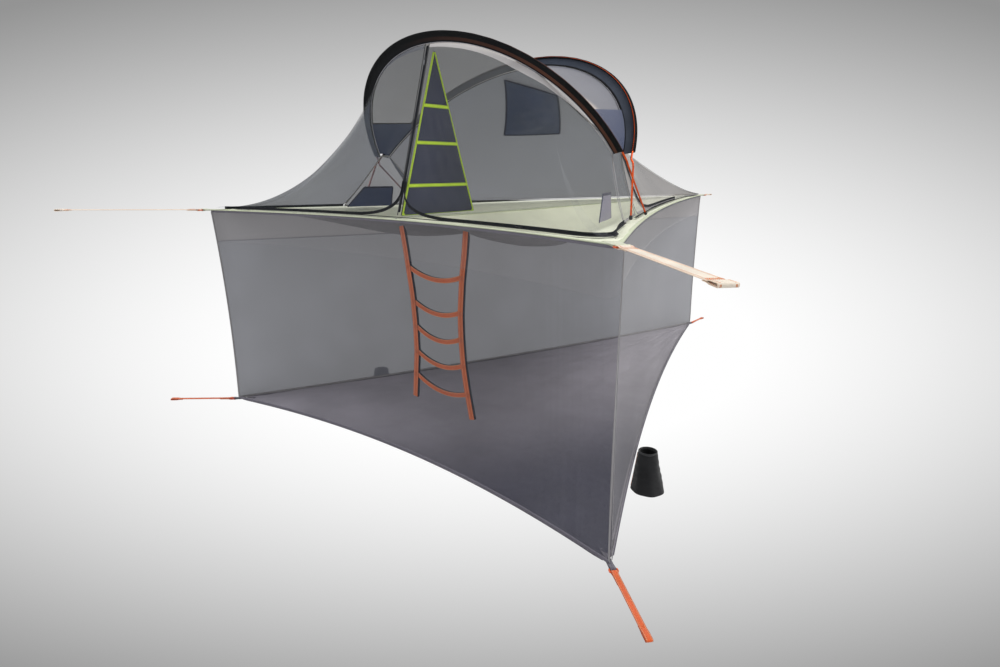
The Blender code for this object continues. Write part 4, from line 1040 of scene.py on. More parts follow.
# ladder face: the orange darkened below the straps' orange, painted shade
M["ladder"] = webbing("ladder_webbing_face", srgb(170, 72, 16), 0.033, stitch=(0.75, 0.35, 0.15), rows=(0.0095,),
                      edge=(0.16, 0.045, 0.02))
M["ladder_side"] = cloth("ladder_webbing_edge", srgb(14, 24, 40), 0.75, 0.0011)
M["thread"] = cloth("pale_thread", (0.80, 0.78, 0.72), 0.6, 0.0008)
M["thread_orange"] = cloth("orange_thread", (0.78, 0.22, 0.05), 0.6, 0.0008)
M["thread_dark"] = cloth("dark_thread", (0.02, 0.02, 0.025), 0.6, 0.0008)
M["seam"] = webbing("wall_seam_tape", (0.33, 0.32, 0.335), 0.009, rib=0.0018)
M["piping"] = webbing("piping", (0.66, 0.64, 0.74), 0.007, rib=0.0016)
M["zip"] = zipper("zip_tape", (0.0085, 0.010, 0.014), (0.014, 0.016, 0.021))
M["pole"] = hard("orange_anodised_tube", (0.66, 0.085, 0.012), 0.30, 0.85, wear=((0.75, 0.35, 0.18), 0.5), scale=45)
M["ferrule"] = hard("pole_joint_sleeve", (0.46, 0.060, 0.012), 0.36, 0.85, wear=((0.60, 0.30, 0.18), 0.4), scale=120)
M["ring"] = hard("painted_ring", (0.72, 0.105, 0.02), 0.34, 0.0, wear=((0.42, 0.40, 0.38), 0.85), coat=0.35, scale=70)
M["ring_red"] = hard("painted_ring_red", (0.55, 0.035, 0.018), 0.34, 0.0, wear=((0.42, 0.40, 0.38), 0.85), coat=0.35, scale=70)
M["slider"] = hard("zip_slider_metal", (0.045, 0.046, 0.050), 0.36, 0.9, wear=((0.25, 0.24, 0.23), 0.35), scale=200)
M["cup"] = hard("foot_cup_rubber", (0.020, 0.020, 0.021), 0.66, 0.0, scale=150)


def arch_cloth(name, base, far, x0, x1):
    m = Mat(name, rough=0.80, spec=0.12)
    obj, xyz = m.place()
    w = m.weave(0.0014)
    c = m.mix(m.ramp(xyz[0], x0, x1), base, far)
    c = m.shade(c, m.ramp(m.noise(obj, 6.0, 4.0), 0.3, 0.7, 0.85, 1.15))
    c = m.shade(c, m.math("ADD", m.math("MULTIPLY", w, 0.08), 1.0))
    m.put_colour(c)
    m.bump(w, 0.00025, 0.8)
    return m.mat


M["arch_edge"] = arch_cloth("arch_binding", (0.0060, 0.0064, 0.0078), (0.0060, 0.0064, 0.0078), -1.0, 1.0)
# painted warm highlight: the black web turns brown towards +x, the lit right side of the arch; the cloth itself is
# black
M["front_web"] = arch_cloth("front_arch_web", (0.0060, 0.0064, 0.0078), srgb(84, 54, 44), -0.25, 0.75)
M["rear_web"] = arch_cloth("rear_arch_web", (0.024, 0.033, 0.052), (0.045, 0.053, 0.072), -0.6, 0.8)


# ================================================================ upper floor
def wrinkle(G, amount, seed, scale=1.0, edge=0.12):
    """Low soft folds pressed into a sheet, fading out towards its sewn edges."""
    n = normals_of(G)
    a, b = G.shape[:2]
    U, V = np.meshgrid(np.linspace(0, 1, a), np.linspace(0, 1, b), indexing="ij")
    rng = np.random.default_rng(seed)
    h = np.zeros((a, b))
    for k in range(9):
        ang = rng.uniform(0, math.pi)
        f = rng.uniform(2.2, 7.5) * scale
        ph = rng.uniform(0, 6.28)
        h += np.sin(2 * math.pi * f * (U * math.cos(ang) + V * math.sin(ang)) + ph + 1.4 * np.sin(4 * U + 3 * V + k)) / (1 + 0.35 * k)
    h /= 3.0
    fade = np.clip(np.minimum(np.minimum(U, 1 - U), np.minimum(V, 1 - V)) / edge, 0, 1)
    fade = fade * fade * (3 - 2 * fade)
    return G + n * (amount * h * fade)[..., None]


def pulls(G, at, n_folds, amount, reach):
    """Tension folds that run out of a point, as cloth has where a corner is pulled."""
    n = normals_of(G)
    d = G - np.asarray(at, float)
    r = np.linalg.norm(d, axis=2)
    ang = np.arctan2(d[..., 1], d[..., 0])
    fall = np.exp(-((r / reach) ** 2)) * np.clip(r / 0.10, 0, 1)
    return G + n * (amount * np.sin(ang * n_folds) * fall)[..., None]


US_FINE = np.linspace(0, 1, 56)
for s, word in ((-1, "left"), (1, "right")):
    G = berth(s, US_FINE)
    if s < 0:
        G = G[::-1]
    G = wrinkle(G, 0.0035, 11 + s, 1.2)
    G = pulls(G, (s * HALF_BASE, 0.02, 0), 34, 0.0035, 0.55)
    G = pulls(G, (0.0, APEX_Y, 0), 60, 0.0025, 0.8)
    F = Form()
    F.slab(G, 0.0030, 0, 1, 2)
    ob = F.build("floor_cloth_" + word, [M["floor_top"], M["floor_under"], M["floor_rim"]], "tent", "floor_fabric",
                 ["floor_%s_berth" % word])
    declare_sheet(ob, 2)

ys = np.linspace(FRONT_SAG + 0.040, APEX_Y - 0.21, 90)
F = Form()
F.tape(np.stack([0 * ys, ys, 0 * ys], 1), (1, 0, 0), (0, 0, 1), 0.050, 0.0040, 0)
for x in (-0.0215, 0.0215):
    F.stitch((x, ys[0] + 0.01, 0.0021), (x, ys[-1] - 0.01, 0.0021), (0, 0, 1), 0.020, 0.012, 0.0005, 1)
F.build("floor_centre_tape", [M["centre"], M["thread"]], "tent", "edge_webbing", ["floor_centre_strap"])


def fold(form, path, corner, pull, across, width, thick, mat=0):
    """A tape folded in the plane of the pull and the upright."""
    pts = np.array([corner + pull * x + np.array([0, 0, h]) for x, h in path])
    t = np.gradient(pts, axis=0)
    ups = np.cross(t, across)
    form.tape(pts, across, ups, width, thick, mat)
    return pts


for low in (False, True):
    front_fn, side_fn = (lower_front, lower_side) if low else (front_edge, side_edge)
    P = loop_points(front_fn, side_fn, 0.009, 70)
    t = np.roll(P, -1, 0) - np.roll(P, 1, 0)
    F = Form()
    F.tape(P, np.cross(t, (0, 0, 1)), (0, 0, 1), 0.020, 0.0044, 0, closed=True)
    size = LOWER_RING if low else UPPER_RING
    s_in, s_out = ring_s(low)
    clear = RING_BAR * 0.7072 + GAP + WEBBING_T / 2
    for key, (corner, pull) in corner_frames(low).items():
        across = np.cross((0, 0, 1), pull)
        wide = size[0] - 2 * RING_BAR - 0.004
        path = [(-0.115, 0.0016), (s_in - 0.050, 0.0018), (s_in - 0.022, 0.0024), (s_in - 0.010, 0.0040)]
        path += [(s_in + clear * math.cos(q), clear * math.sin(q)) for q in np.radians(np.linspace(100, -100, 15))]
        path += [(s_in - 0.010, -0.0040), (s_in - 0.022, -0.0024), (s_in - 0.050, -0.0018), (-0.115, -0.0016)]
        fold(F, path, corner, pull, across, wide, WEBBING_T, 1)
        top = WEBBING_T / 2 + 0.0017
        for x0, x1 in ((-0.108, -0.075), (-0.070, -0.030)):
            for y in np.linspace(-wide / 2 + 0.004, wide / 2 - 0.004, 5 if not low else 3):
                a = corner + pull * x0 + across * y + np.array([0, 0, top])
                F.stitch(a, a + pull * (x1 - x0), (0, 0, 1), 0.0048, 0.0034, 0.0005, 2)
            for x in (x0, x1):
                a = corner + pull * x - across * (wide / 2 - 0.004) + np.array([0, 0, top])
                F.stitch(a, a + across * (wide - 0.008), (0, 0, 1), 0.0048, 0.0034, 0.0005, 2)
    F.build("lower_edge_tape" if low else "floor_edge_tape",
            [M["low_edge"], M["low_edge"], M["thread_dark"]] if low else [M["edge"], M["edge_loop"], M["thread"]], "tent",
            "black_fabric" if low else "edge_webbing", ["lower_perimeter_webbing" if low else "perimeter_webbing"])

    # straps: folded round the outer bar, sewn back on themselves, an eye at the far end
    for key, (corner, pull) in corner_frames(low).items():
        across = np.cross((0, 0, 1), pull)
        length = (LOW_STRAP_LENGTHS if low else STRAP_LENGTHS)[key]
        back, eye = min(0.07, 0.36 * length), min(0.05, 0.24 * length)
        rise = WEBBING_T / 2 + 0.0003
        path = [(s_out + back, -rise), (s_out + back * 0.6, -rise), (s_out + 0.018, -rise - 0.0006), (s_out + 0.007, -clear + 0.0005)]
        path += [(s_out + clear * math.cos(a), clear * math.sin(a)) for a in np.linspace(-2.0, -4.3, 14)]
        path += [(s_out + 0.007, clear - 0.0005), (s_out + 0.018, rise + 0.0006)]
        start_eye = s_out + length - eye
        mids = np.linspace(s_out + 0.05, start_eye - 0.02, max(3, int(length / 0.03))) if start_eye - s_out > 0.09 else []
        path += [(x, rise) for x in mids]
        path += [(start_eye - 0.004, rise), (start_eye + 0.012, 0.0042)]
        path += [(s_out + length - 0.0048 + 0.0048 * math.cos(a), 0.0048 * math.sin(a)) for a in np.linspace(1.3, -1.3, 13)]
        path += [(start_eye + 0.012, -0.0042), (start_eye - 0.004, -rise)]
        if s_out + back < start_eye - 0.03:
            path += [(start_eye - 0.022, -rise)]
        F = Form()
        width = (LOW_STRAP_W if low else TOP_STRAP_W) - 0.001
        fold(F, path, corner, pull, across, width, WEBBING_T, 0)
        short = length < 6 * width
        T = Form() if short else F
        hgt = np.array([0, 0, rise + WEBBING_T / 2 + 0.0003])
        boxes = [(s_out + 0.020, s_out + back - 0.006)]
        if length > 0.2:
            boxes.append((start_eye - 0.021, start_eye - 0.004))
        for x0, x1 in boxes:
            for y in np.linspace(-width / 2 + 0.005, width / 2 - 0.005, 2):
                for sgn in (1, -1):
                    a = corner + pull * x0 + across * y + hgt * sgn
                    T.stitch(a, a + pull * (x1 - x0), (0, 0, sgn), 0.0046, 0.0034, 0.0005, 1)
            for sgn in (1, -1):
                for x in np.linspace(x0, x1, 3):
                    a = corner + pull * x - across * (width / 2 - 0.005) + hgt * sgn
                    T.stitch(a, a + across * (width - 0.010), (0, 0, sgn), 0.0046, 0.0034, 0.0005, 1)
                for y0, y1 in ((-1, 1), (1, -1)):
                    a = corner + pull * x0 + across * (y0 * (width / 2 - 0.005)) + hgt * sgn
                    b = corner + pull * x1 + across * (y1 * (width / 2 - 0.005)) + hgt * sgn
                    T.stitch(a, b, (0, 0, sgn), 0.0046, 0.0034, 0.0005, 1)
        node = "lower_strap_" + key if low else "anchor_strap_" + key
        ob = F.build(node + "_webbing", [M["orange"] if low else M["cream"], M["thread_orange"]], "tent",
                     "orange_webbing" if low else "strap_webbing", [node])
        if length >= 6 * width:
            line = [tuple(corner + pull * (s_out + length * k / 16) + SHIFT) for k in range(17)]
        else:
            # too short beside its width, so its stitches are built as an object of their own; too short
            # beside its width to count as a cord
            sewn = T.build(node + "_stitches", [M["cream"], M["thread_orange"]], "tent", "strap_webbing")

# ================================================================ poles and arch sleeves
for word, front in (("front", True), ("rear", False)):
    P = even(pole_points(front), 0.012)
    F = Form()
    F.tube(P, POLE_D / 2, 18, 0)
    d = along(P)
    joints = np.arange(0.30, d[-1] - 0.2, 0.42)
    for at in joints:
        k = np.linspace(at - 0.016, at + 0.016, 7)
        seg = np.stack([np.interp(k, d, P[:, c]) for c in range(3)], 1)
        F.tube(seg, [POLE_D / 2 + 0.0001, POLE_D / 2 + 0.0004] + [POLE_D / 2 + 0.00045] * 3 + [POLE_D / 2 + 0.0004, POLE_D / 2 + 0.0001],
               18, 1)
    F.build(word + "_pole_tube", [M["pole"], M["ferrule"]], "tent", "pole_coating", [word + "_pole"])

for word, front, wide in (("front", True, FRONT_W), ("rear", False, REAR_W)):
    begin = arch_start(front) + SLEEVE_START
    phis = np.linspace(begin, math.pi - begin, 150)
    shape = [(0.0042, 0.0), (0.0036, 0.0016), (0.0020, 0.0022), (-0.0070, 0.0022), (-0.0085, 0.0013), (-0.5 * wide, 0.0012),
             (-wide + 0.0105, 0.0013), (-wide + 0.0090, 0.0021), (-wide + 0.0015, 0.0021), (-wide, 0.0)]
    mats = [1, 1, 1, 1, 0, 0, 1, 1, 1]
    half = len(shape)
    loop = shape + [(o, -l) for o, l in reversed(shape[1:-1])]
    kinds = mats + list(reversed(mats[1:-1])) + [1]
    kinds = kinds[:len(loop)] if len(kinds) >= len(loop) else kinds + [1] * (len(loop) - len(kinds))
    F = Form()
    n = len(loop)
    P = np.array([[arch(front, p, o, l + 0.0004 * math.sin(31 * p) * (abs(l) < 0.002)) for o, l in loop] for p in phis])
    lens = along(P[:, 0])
    first = F.points(P)
    perim = np.concatenate([[0], np.cumsum([math.dist(loop[i], loop[(i + 1) % n]) for i in range(n)])])
    for i in range(len(phis) - 1):
        for j in range(n):
            k = (j + 1) % n
            o0, o1 = loop[j][0], loop[k][0]
            F.f.append([first + i * n + j, first + i * n + k, first + (i + 1) * n + k, first + (i + 1) * n + j])
            mid0, mid1 = (o0 + 0.0025, o1 + 0.0025) if o0 > -wide / 2 else (o0 + wide - 0.005, o1 + wide - 0.005)
            v0, v1 = (mid0, mid1) if kinds[j] == 1 else (o0, o1)
            F.uv.append([(lens[i], v0), (lens[i], v1), (lens[i + 1], v1), (lens[i + 1], v0)])
            F.m.append(kinds[j])
    F.fan([first + j for j in reversed(range(n))], [(0, 0.001 * j) for j in range(n)], 1)
    F.fan([first + (len(phis) - 1) * n + j for j in range(n)], [(0, 0.001 * j) for j in range(n)], 1)
    # the tunnel that the pole runs through; on the rear arch a slit shows the pole
    a0, a1 = (0.0, 2 * math.pi) if front else (math.radians(112), math.radians(112 + 322))
    ts = np.linspace(a0, a1, 25)
    rad = POLE_D / 2 + 0.0013
    T = np.array([[arch(front, p, POLE_OFF + (rad + 0.0022 * max(0.0, -math.sin(q)) ** 2) * math.cos(q) * (1 + 0.10 * math.sin(p * 57)),
                        POLE_LIFT + (rad + 0.0022 * max(0.0, -math.sin(q)) ** 2) * math.sin(q)) for q in ts] for p in phis])
    F.grid(T, np.stack([np.repeat(lens[:, None], 25, 1), np.repeat((ts * rad)[None, :], len(phis), 0)], -1), 3, wrap_v=False)
    pipe = np.array([arch(front, p, -wide - 0.0008, 0.0) for p in phis])
    F.tube(pipe, 0.0015, 8, 2)
    ob = F.build(word + "_arch_web", [M[word + "_web"], M["arch_edge"], M["piping"], M["front_web"] if front else M["arch_edge"]], "tent", "black_fabric",
                 [word + "_arch_sleeve"])
    ob.data.update()

# ================================================================ canopy
def canopy_point(g, u, v):
    i, j = u * (g.shape[0] - 1), v * (g.shape[1] - 1)
    i0, j0 = min(int(i), g.shape[0] - 2), min(int(j), g.shape[1] - 2)
    fi, fj = i - i0, j - j0
    return (g[i0, j0] * (1 - fi) * (1 - fj) + g[i0 + 1, j0] * fi * (1 - fj)
            + g[i0, j0 + 1] * (1 - fi) * fj + g[i0 + 1, j0 + 1] * fi * fj)


def smooth(x, a, b):
    k = np.clip((np.asarray(x, float) - a) / (b - a), 0, 1)
    return k * k * (3 - 2 * k)


def edge_tape(form, P, N, width, thick, mat, off=0.0):
    """A tape bound over a sheet's edge: P is the edge and N the sheet's normals there."""
    P = np.asarray(P, float)
    t = np.gradient(P, axis=0)
    side = np.cross(t, N)
    form.tape(P + np.asarray(N) * off, side, N, width, thick, mat)


def door_rows(s, us, share):
    """The door with its first rows at the edge of the reinforcement that follows the arch."""
    G = np.empty((len(us), len(share) + 5, 3))
    for i, u in enumerate(us):
        whole = door_grid(s, [u], np.linspace(0, 1, 61))[0]
        length = along(whole)[-1]
        wide = 0.012 + 0.020 * (1 - abs(2 * u - 0.9)) if s > 0 else 0.010 + 0.010 * (1 - u)
        b = max(0.008, wide) / length
        vs = np.concatenate([np.linspace(0, b, 5)[:4], [b * 0.99, b], b + (1 - b) * share[1:]])
        G[i] = door_grid(s, [u], vs)[0]
    return G


def round_corner(P, corner, reach):
    """The path with its corner replaced by a curve, from reach before the corner to reach after it."""
    P = np.asarray(P, float)
    d = along(P)
    at = d[np.linalg.norm(P - corner, axis=1).argmin()]
    a, b = P[d < at - reach], P[d > at + reach]
    p0, p3 = a[-1], b[0]
    return np.concatenate([a[:-1], bezier(p0, p0 + (corner - p0) * 0.66, p3 + (corner - p3) * 0.66, p3, 24), b[1:]])


def door_rows_surface(s):
    return lambda u, v: door_grid(s, [min(max(u, 0.0), 1.0)], [min(max(v, 0.0), 1.0)])[0][0]


HEM_TURN = ((1.036, 0.542), (1.071, 0.468), (1.116, 0.383), (1.152, 0.312), (1.184, 0.248), (1.200, 0.205), (1.199, 0.172), (1.176, 0.145),
            (1.148, 0.134))
for s, word in ((-1, "left"), (1, "right")):
    us = np.linspace(0, 1, 64)
    G = door_rows(s, us, np.linspace(0, 1, 42))
    if s < 0:
        G = G[::-1]
        us = us[::-1]
    n = normals_of(G)
    vv = np.linspace(0, 1, G.shape[1])
    soft = np.sin(us * 23 + 1.0)[:, None] * np.sin(vv * math.pi)[None, :] ** 2 * np.sin(vv * 9 + 2)[None, :]
    G = G + n * (0.0035 * soft * np.clip(us * (1 - us) * 12, 0, 1)[:, None])[..., None]
    uv = plane_uv(G).reshape(G.shape[0], G.shape[1], 2)
    dense = np.repeat((smooth(us, 0.50, 0.66) * 0.97 if s < 0 else smooth(us, 0.90, 1.0) * 0.10)[:, None], G.shape[1], 1)
    F = Form()
    # the first rows along the arch: on the right door a pale painted sheen streak, on the left a dark strip
    F.grid(G[:, :6], uv[:, :6], 1, dense=0.0)
    F.grid(G[:, 5:], uv[:, 5:], 0, dense=dense[:, 5:])
    # the hem that carries the zip: a standing black band, which leaves the floor by the middle to join the centre zip
    dd = door_rows_surface(s)
    ks = [k for k in np.linspace(1.0, 0.19, 90)]
    P = [dd(k, 1.0) for k in ks]
    if s < 0:
        P = list(round_corner(P, dd(0.60, 1.0), 0.11))
    else:
        # the right hem rounds its corner well inside the ring
        turn = [np.array([x, y, 0.016]) for x, y in HEM_TURN]
        P = [q for q, k in zip(P, ks) if k > 0.945] + list(smooth_path(turn, 2)) + [q for q, k in zip(P, ks) if k < 0.515]
    b0, b1, b2, b3 = np.array([0.19, 1.0]), np.array([0.07, 1.0]), np.array([0.0, 0.985]), np.array([0.0, 0.80])
    P += [dd(*((1 - q) ** 3 * b0 + 3 * (1 - q) ** 2 * q * b1 + 3 * (1 - q) * q * q * b2 + q ** 3 * b3)) for q in np.linspace(0, 1, 26)[1:]]
    P = even(smooth_path(np.array(P), 1), 0.012)
    down = np.clip((P[:, 2] - 0.016) / 0.03, 0, 1)
    P[:, 2] -= 0.004 * (1 - down)
    t = np.gradient(P, axis=0)
    horizontal = np.cross(t, (0, 0, 1))
    horizontal /= np.maximum(np.linalg.norm(horizontal, axis=1, keepdims=True), 1e-9)
    side = np.cross(horizontal, t)
    nn = np.cross(side, t)
    F.tape(P, side, nn, 0.0145, 0.0030, 3)
    F.tube(P + side / np.linalg.norm(side, axis=1, keepdims=True) * 0.0005, 0.0021, 8, 3)
    outer = G[0] if s < 0 else G[-1]
    nn = n[0] if s < 0 else n[-1]
    edge_tape(F, outer, nn, 0.006, 0.0018, 4)
    inner = G[-1] if s < 0 else G[0]
    edge_tape(F, inner + np.array([s * 0.003, 0, 0]), n[-1] if s < 0 else n[0], 0.006, 0.0020, 2)
    ob = F.build("door_%s_net" % word, [M["net"], M["band_dark"] if s < 0 else M["band"], M["black_tape"], M["zip"], M["seam"]],
                 "door_" + word, "canopy_fabric",
                 ["door_flap_" + word])
    declare_sheet(ob)

for s, word in ((-1, "left"), (1, "right")):
    us = np.linspace(0, 1, 52)
    G = rear_grid(s, us, np.linspace(0, 1, 52))
    if s > 0:
        G = G[::-1]
    G = wrinkle(G, 0.0030, 31 + s, 0.9)
    n = normals_of(G)
    F = Form()
    F.grid(G, None, 0, dense=0.97 if s < 0 else 0.10)
    foot = G[:, -1] - [0, 0, 0.005]
    edge_tape(F, foot, n[:, -1], 0.024 if s < 0 else 0.012, 0.0026, 1 if s < 0 else 3)
    if s > 0:
        # the side opening's zip: down the front edge of this half, round the corner and back along the floor
        gg = rear_grid(1, np.linspace(0, 1, 61), np.linspace(0, 1, 61))
        knots = np.array([(0.990, 0.0), (0.965, 0.14), (0.945, 0.30), (0.935, 0.435), (0.922, 0.57), (0.900, 0.72), (0.860, 0.88),
                          (0.800, 0.965), (0.70, 0.992), (0.60, 0.995), (0.45, 0.995), (0.33, 0.995)])
        steps = np.arange(len(knots), dtype=float)
        fine = np.linspace(0, len(knots) - 1, 90)
        knots = smooth_path(np.stack([np.interp(fine, steps, knots[:, c]) for c in range(2)], 1), 3)
        P = [canopy_point(gg, min(q[0], 0.999), min(q[1], 0.999)) for q in knots]
        P = even(smooth_path(np.array(P), 1), 0.012) + [0, 0, -0.002]
        t = np.gradient(P, axis=0)
        hz = np.cross(t, (0, 0, 1))
        hz /= np.maximum(np.linalg.norm(hz, axis=1, keepdims=True), 1e-9)
        up = np.cross(hz, t)
        F.tape(P, up, hz, 0.025, 0.0036, 2)
        F.tube(P, 0.0023, 8, 2)
    ridge = G[0] if s < 0 else G[-1]
    edge_tape(F, ridge + np.array([s * 0.0015, 0, 0]), n[0] if s < 0 else n[-1], 0.008, 0.0018, 1)
    far = G[-1] if s < 0 else G[0]
    edge_tape(F, far, n[-1] if s < 0 else n[0], 0.006, 0.0018, 3)
    edge_tape(F, G[:, 0], n[:, 0], 0.006, 0.0016, 1)
    ob = F.build("rear_%s_net" % word, [M["net_far"] if s < 0 else M["net_warm"], M["black_tape"], M["zip"], M["seam"]], "tent",
                 "canopy_fabric",
                 ["rear_canopy_" + word])
    declare_sheet(ob)

    # side panel: netting below the crossing of the poles, navy cloth above it
    F = Form()
    A = gusset_low(s, np.linspace(0, 1, 26), np.linspace(0, 1, 16))
    B = gusset_high(s, np.linspace(0, 1, 30), np.linspace(0, 1, 16))
    F.grid(A, None, 0, dense=0.9 if s < 0 else 0.12)
    F.slab(B if s > 0 else B[::-1], 0.0014, 1, 1, 1)
    nA, nB = normals_of(A), normals_of(B)
    for line, nn in ((A[:, 0], nA[:, 0]), (A[:, -1], nA[:, -1])):
        edge_tape(F, line, nn, 0.006, 0.0018, 2)
    edge_tape(F, A[0], nA[0], 0.010, 0.0020, 2)
    edge_tape(F, A[-1], nA[-1], 0.008, 0.0020, 2)
    ob = F.build("side_%s_panel" % word, [M["net_far"], M["navy"], M["seam"]], "tent", "navy_fabric",
                 ["side_gusset_" + word])
    declare_sheet(ob, 1.35)

F = Form()
us = np.linspace(0, 1, 70)
G = roof_grid(us, np.linspace(0, 1, 26))
VV = np.linspace(0, 1, 26)[None, :]
# the pale painted reflection lies at the roof's right end by the front arch; the rest is dense netting
dense = 0.95 * smooth(VV + 0.90 * (us[:, None] - 0.30), 0.02, 0.28)
n = normals_of(G)
F.grid(G, None, 0, dense=dense)
for line, nn in ((G[:, 0], n[:, 0]), (G[:, -1], n[:, -1]), (G[0], n[0]), (G[-1], n[-1])):
    edge_tape(F, line, nn, 0.007, 0.0018, 1)
ob = F.build("roof_net", [M["net_roof"], M["black_tape"]], "tent", "canopy_fabric", ["roof_panel"])
declare_sheet(ob)


g = rear_grid(-1, np.linspace(0, 1, 61), np.linspace(0, 1, 61))
G = []
for a in np.linspace(0, 1, 30):
    row = []
    for b in np.linspace(0, 1, 30):
        top = np.array(PANEL[0]) * (1 - a) + np.array(PANEL[1]) * a
        low = np.array(PANEL[3]) * (1 - a) + np.array(PANEL[2]) * a
        u, v = top * (1 - b) + low * b
        bulge = 0.028 * math.sin(math.pi * a) * math.sin(math.pi * b)
        row.append(canopy_point(g, u, v) + PANEL_IN * (0.016 + bulge))
    G.append(row)
G = wrinkle(np.array(G), 0.0030, 5, 0.7)
F = Form()
F.slab(G, 0.0016, 0, 0, 0)
n = normals_of(G)
for line, nn in ((G[:, 0], n[:, 0]), (G[:, -1], n[:, -1]), (G[0], n[0]), (G[-1], n[-1])):
    edge_tape(F, line, nn, 0.012, 0.0034, 1)
ob = F.build("rear_navy_cloth", [M["navy"], M["navy_soft"]], "tent", "navy_fabric", ["rear_navy_panel"])
declare_sheet(ob, 2)

# ================================================================ zips
CENTRE_TOP = arch(True, math.pi / 2, -FRONT_W - 0.010, -0.004)
CENTRE_LOW = front_edge(0.5, CANOPY_INSET) + np.array([0, 0, 0.030])
centre_dir = unit(CENTRE_TOP - CENTRE_LOW)
centre_up = unit(np.cross((1, 0, 0), centre_dir))
P = np.array([CENTRE_LOW + (CENTRE_TOP - CENTRE_LOW) * k for k in np.linspace(0, 1, 60)])
F = Form()
F.tape(P, (1, 0, 0), centre_up, np.linspace(0.0135, 0.018, 60), 0.0022, 0)
F.tube(P + centre_up * 0.0009, 0.0013, 8, 0, squash=0.7)
F.tube(P - centre_up * 0.0009, 0.0013, 8, 0, squash=0.7)
F.build("centre_zip_coil", [M["zip"]], "door_right", "zip_coil", ["centre_zip"])

bz = [front_edge(t, ZIP_INSET, 0.0075) for t in np.linspace(0.035, 0.915, 70)]
bz += [np.array([x, y, 0.0075]) for x, y in ((1.172, 0.122), (1.200, 0.140), (1.213, 0.170), (1.210, 0.210), (1.190, 0.256))]
bz += [side_edge(t, 1, 0.056, 0.0075) for t in np.linspace(0.090, 0.190, 16)]
bz = smooth_path(bz, 2)
rz = [side_edge(t, 1, ZIP_INSET * taper(t), 0.0075) for t in np.linspace(0.268, 0.955, 80)]
for name, pts, node in (("bottom_zip_coil", bz, "bottom_zip"), ("rear_zip_coil", rz, "rear_zip")):
    P = even(smooth_path(pts, 1), 0.012)
    t = np.gradient(P, axis=0)
    side = np.cross(t, (0, 0, 1))
    F = Form()
    F.tape(P, side, (0, 0, 1), ZIP_W * 0.66, 0.0022, 0)
    F.tube(P + [0, 0, 0.0009], 0.0015, 8, 0, squash=0.7)
    F.build(name, [M["zip"]], "tent", "zip_coil", [node])

# ================================================================ organiser behind the centre zip
ORG_LOW_Z, ORG_TOP_Z = 0.012, 0.766


def org_at(z):
    k = (z - ORG_LOW_Z) / (ORG_TOP_Z - ORG_LOW_Z)
    return 0.296 + (0.532 - 0.296) * k, 0.803 + (0.544 - 0.803) * k


F = Form()
zs = np.linspace(ORG_LOW_Z, ORG_TOP_Z, 60)
G = np.array([[(0.0, org_at(z)[0] * (1 - k) + org_at(z)[1] * k, z) for z in zs] for k in np.linspace(0, 1, 24)])
G[..., 0] += 0.0016 * np.sin(G[..., 2] * 21 + G[..., 1] * 9) * np.sin(np.linspace(0, 1, 24) * math.pi)[:, None]
F.slab(G, 0.0016, 0, 0, 0)
ob = F.build("organiser_cloth", [M["navy_soft"]], "tent", "navy_fabric", ["organiser_panel"])
declare_sheet(ob, 2)
F = Form()
shelves = [0.016, 0.143, 0.342, 0.513]
for z0, z1, depth in ((0.016, 0.151, 0.014), (0.156, 0.350, 0.012), (0.358, 0.521, 0.009)):
    for sgn in (1, -1):
        ks, hs = np.linspace(0.03, 0.97, 26), np.linspace(0, 1, 22)
        R = np.empty((26, 22, 3))
        for i, k in enumerate(ks):
            for j, h in enumerate(hs):
                z = z0 + (z1 - z0) * h
                a, b = org_at(z)
                e = math.sin(math.pi * (k - 0.03) / 0.94) ** 0.6
                out = depth * e * (math.sin(math.pi * min(1.0, 0.12 + 0.62 * h)) ** 0.8) * (1 - 0.75 * h ** 3)
                out += 0.0011 * math.sin(k * 26 + h * 5) * e * math.sin(math.pi * h)
                R[i, j] = (sgn * (0.0018 + out), a * (1 - k) + b * k, z)
        F.slab(R, 0.0012, 0, 0, 0)
ob = F.build("organiser_pockets", [M["navy_soft"]], "tent", "navy_fabric")
declare_sheet(ob, 2)
F = Form()
for z in shelves[1:]:
    a, b = org_at(z + 0.008)
    ks = np.linspace(0, 1, 30)
    for sgn in (1, -1):
        P = np.array([(sgn * (0.0035 + 0.0052 * math.sin(math.pi * k) ** 0.6), a + 0.003 + (b - a - 0.006) * k, z + 0.008) for k in ks])
        F.tape(P, (0, 0, 1), (sgn, 0, 0), 0.016, 0.0016, 0)
for side in (0, 1):
    ps = np.array([(0.0, org_at(z)[side], z) for z in np.linspace(0.014, 0.764, 60)])
    inward = 1 if side == 0 else -1
    for sgn in (1, -1):
        F.tape(ps + np.array([sgn * 0.0018, inward * 0.0045, 0]), (0, 1, 0), (sgn, 0, 0), 0.009, 0.0012, 1)
    F.tape(ps + np.array([0, -inward * 0.0006, 0]), (1, 0, 0), (0, 1, 0), 0.0048, 0.0014, 1)
a, b = org_at(0.018)
for sgn in (1, -1):
    P = np.array([(sgn * 0.0018, y, 0.0175) for y in np.linspace(a, b, 20)])
    F.tape(P, (0, 0, 1), (sgn, 0, 0), 0.010, 0.0014, 1)
F.build("organiser_binding", [M["lime"], M["lime_edge"]], "tent", "lime_webbing", ["organiser_trim"])

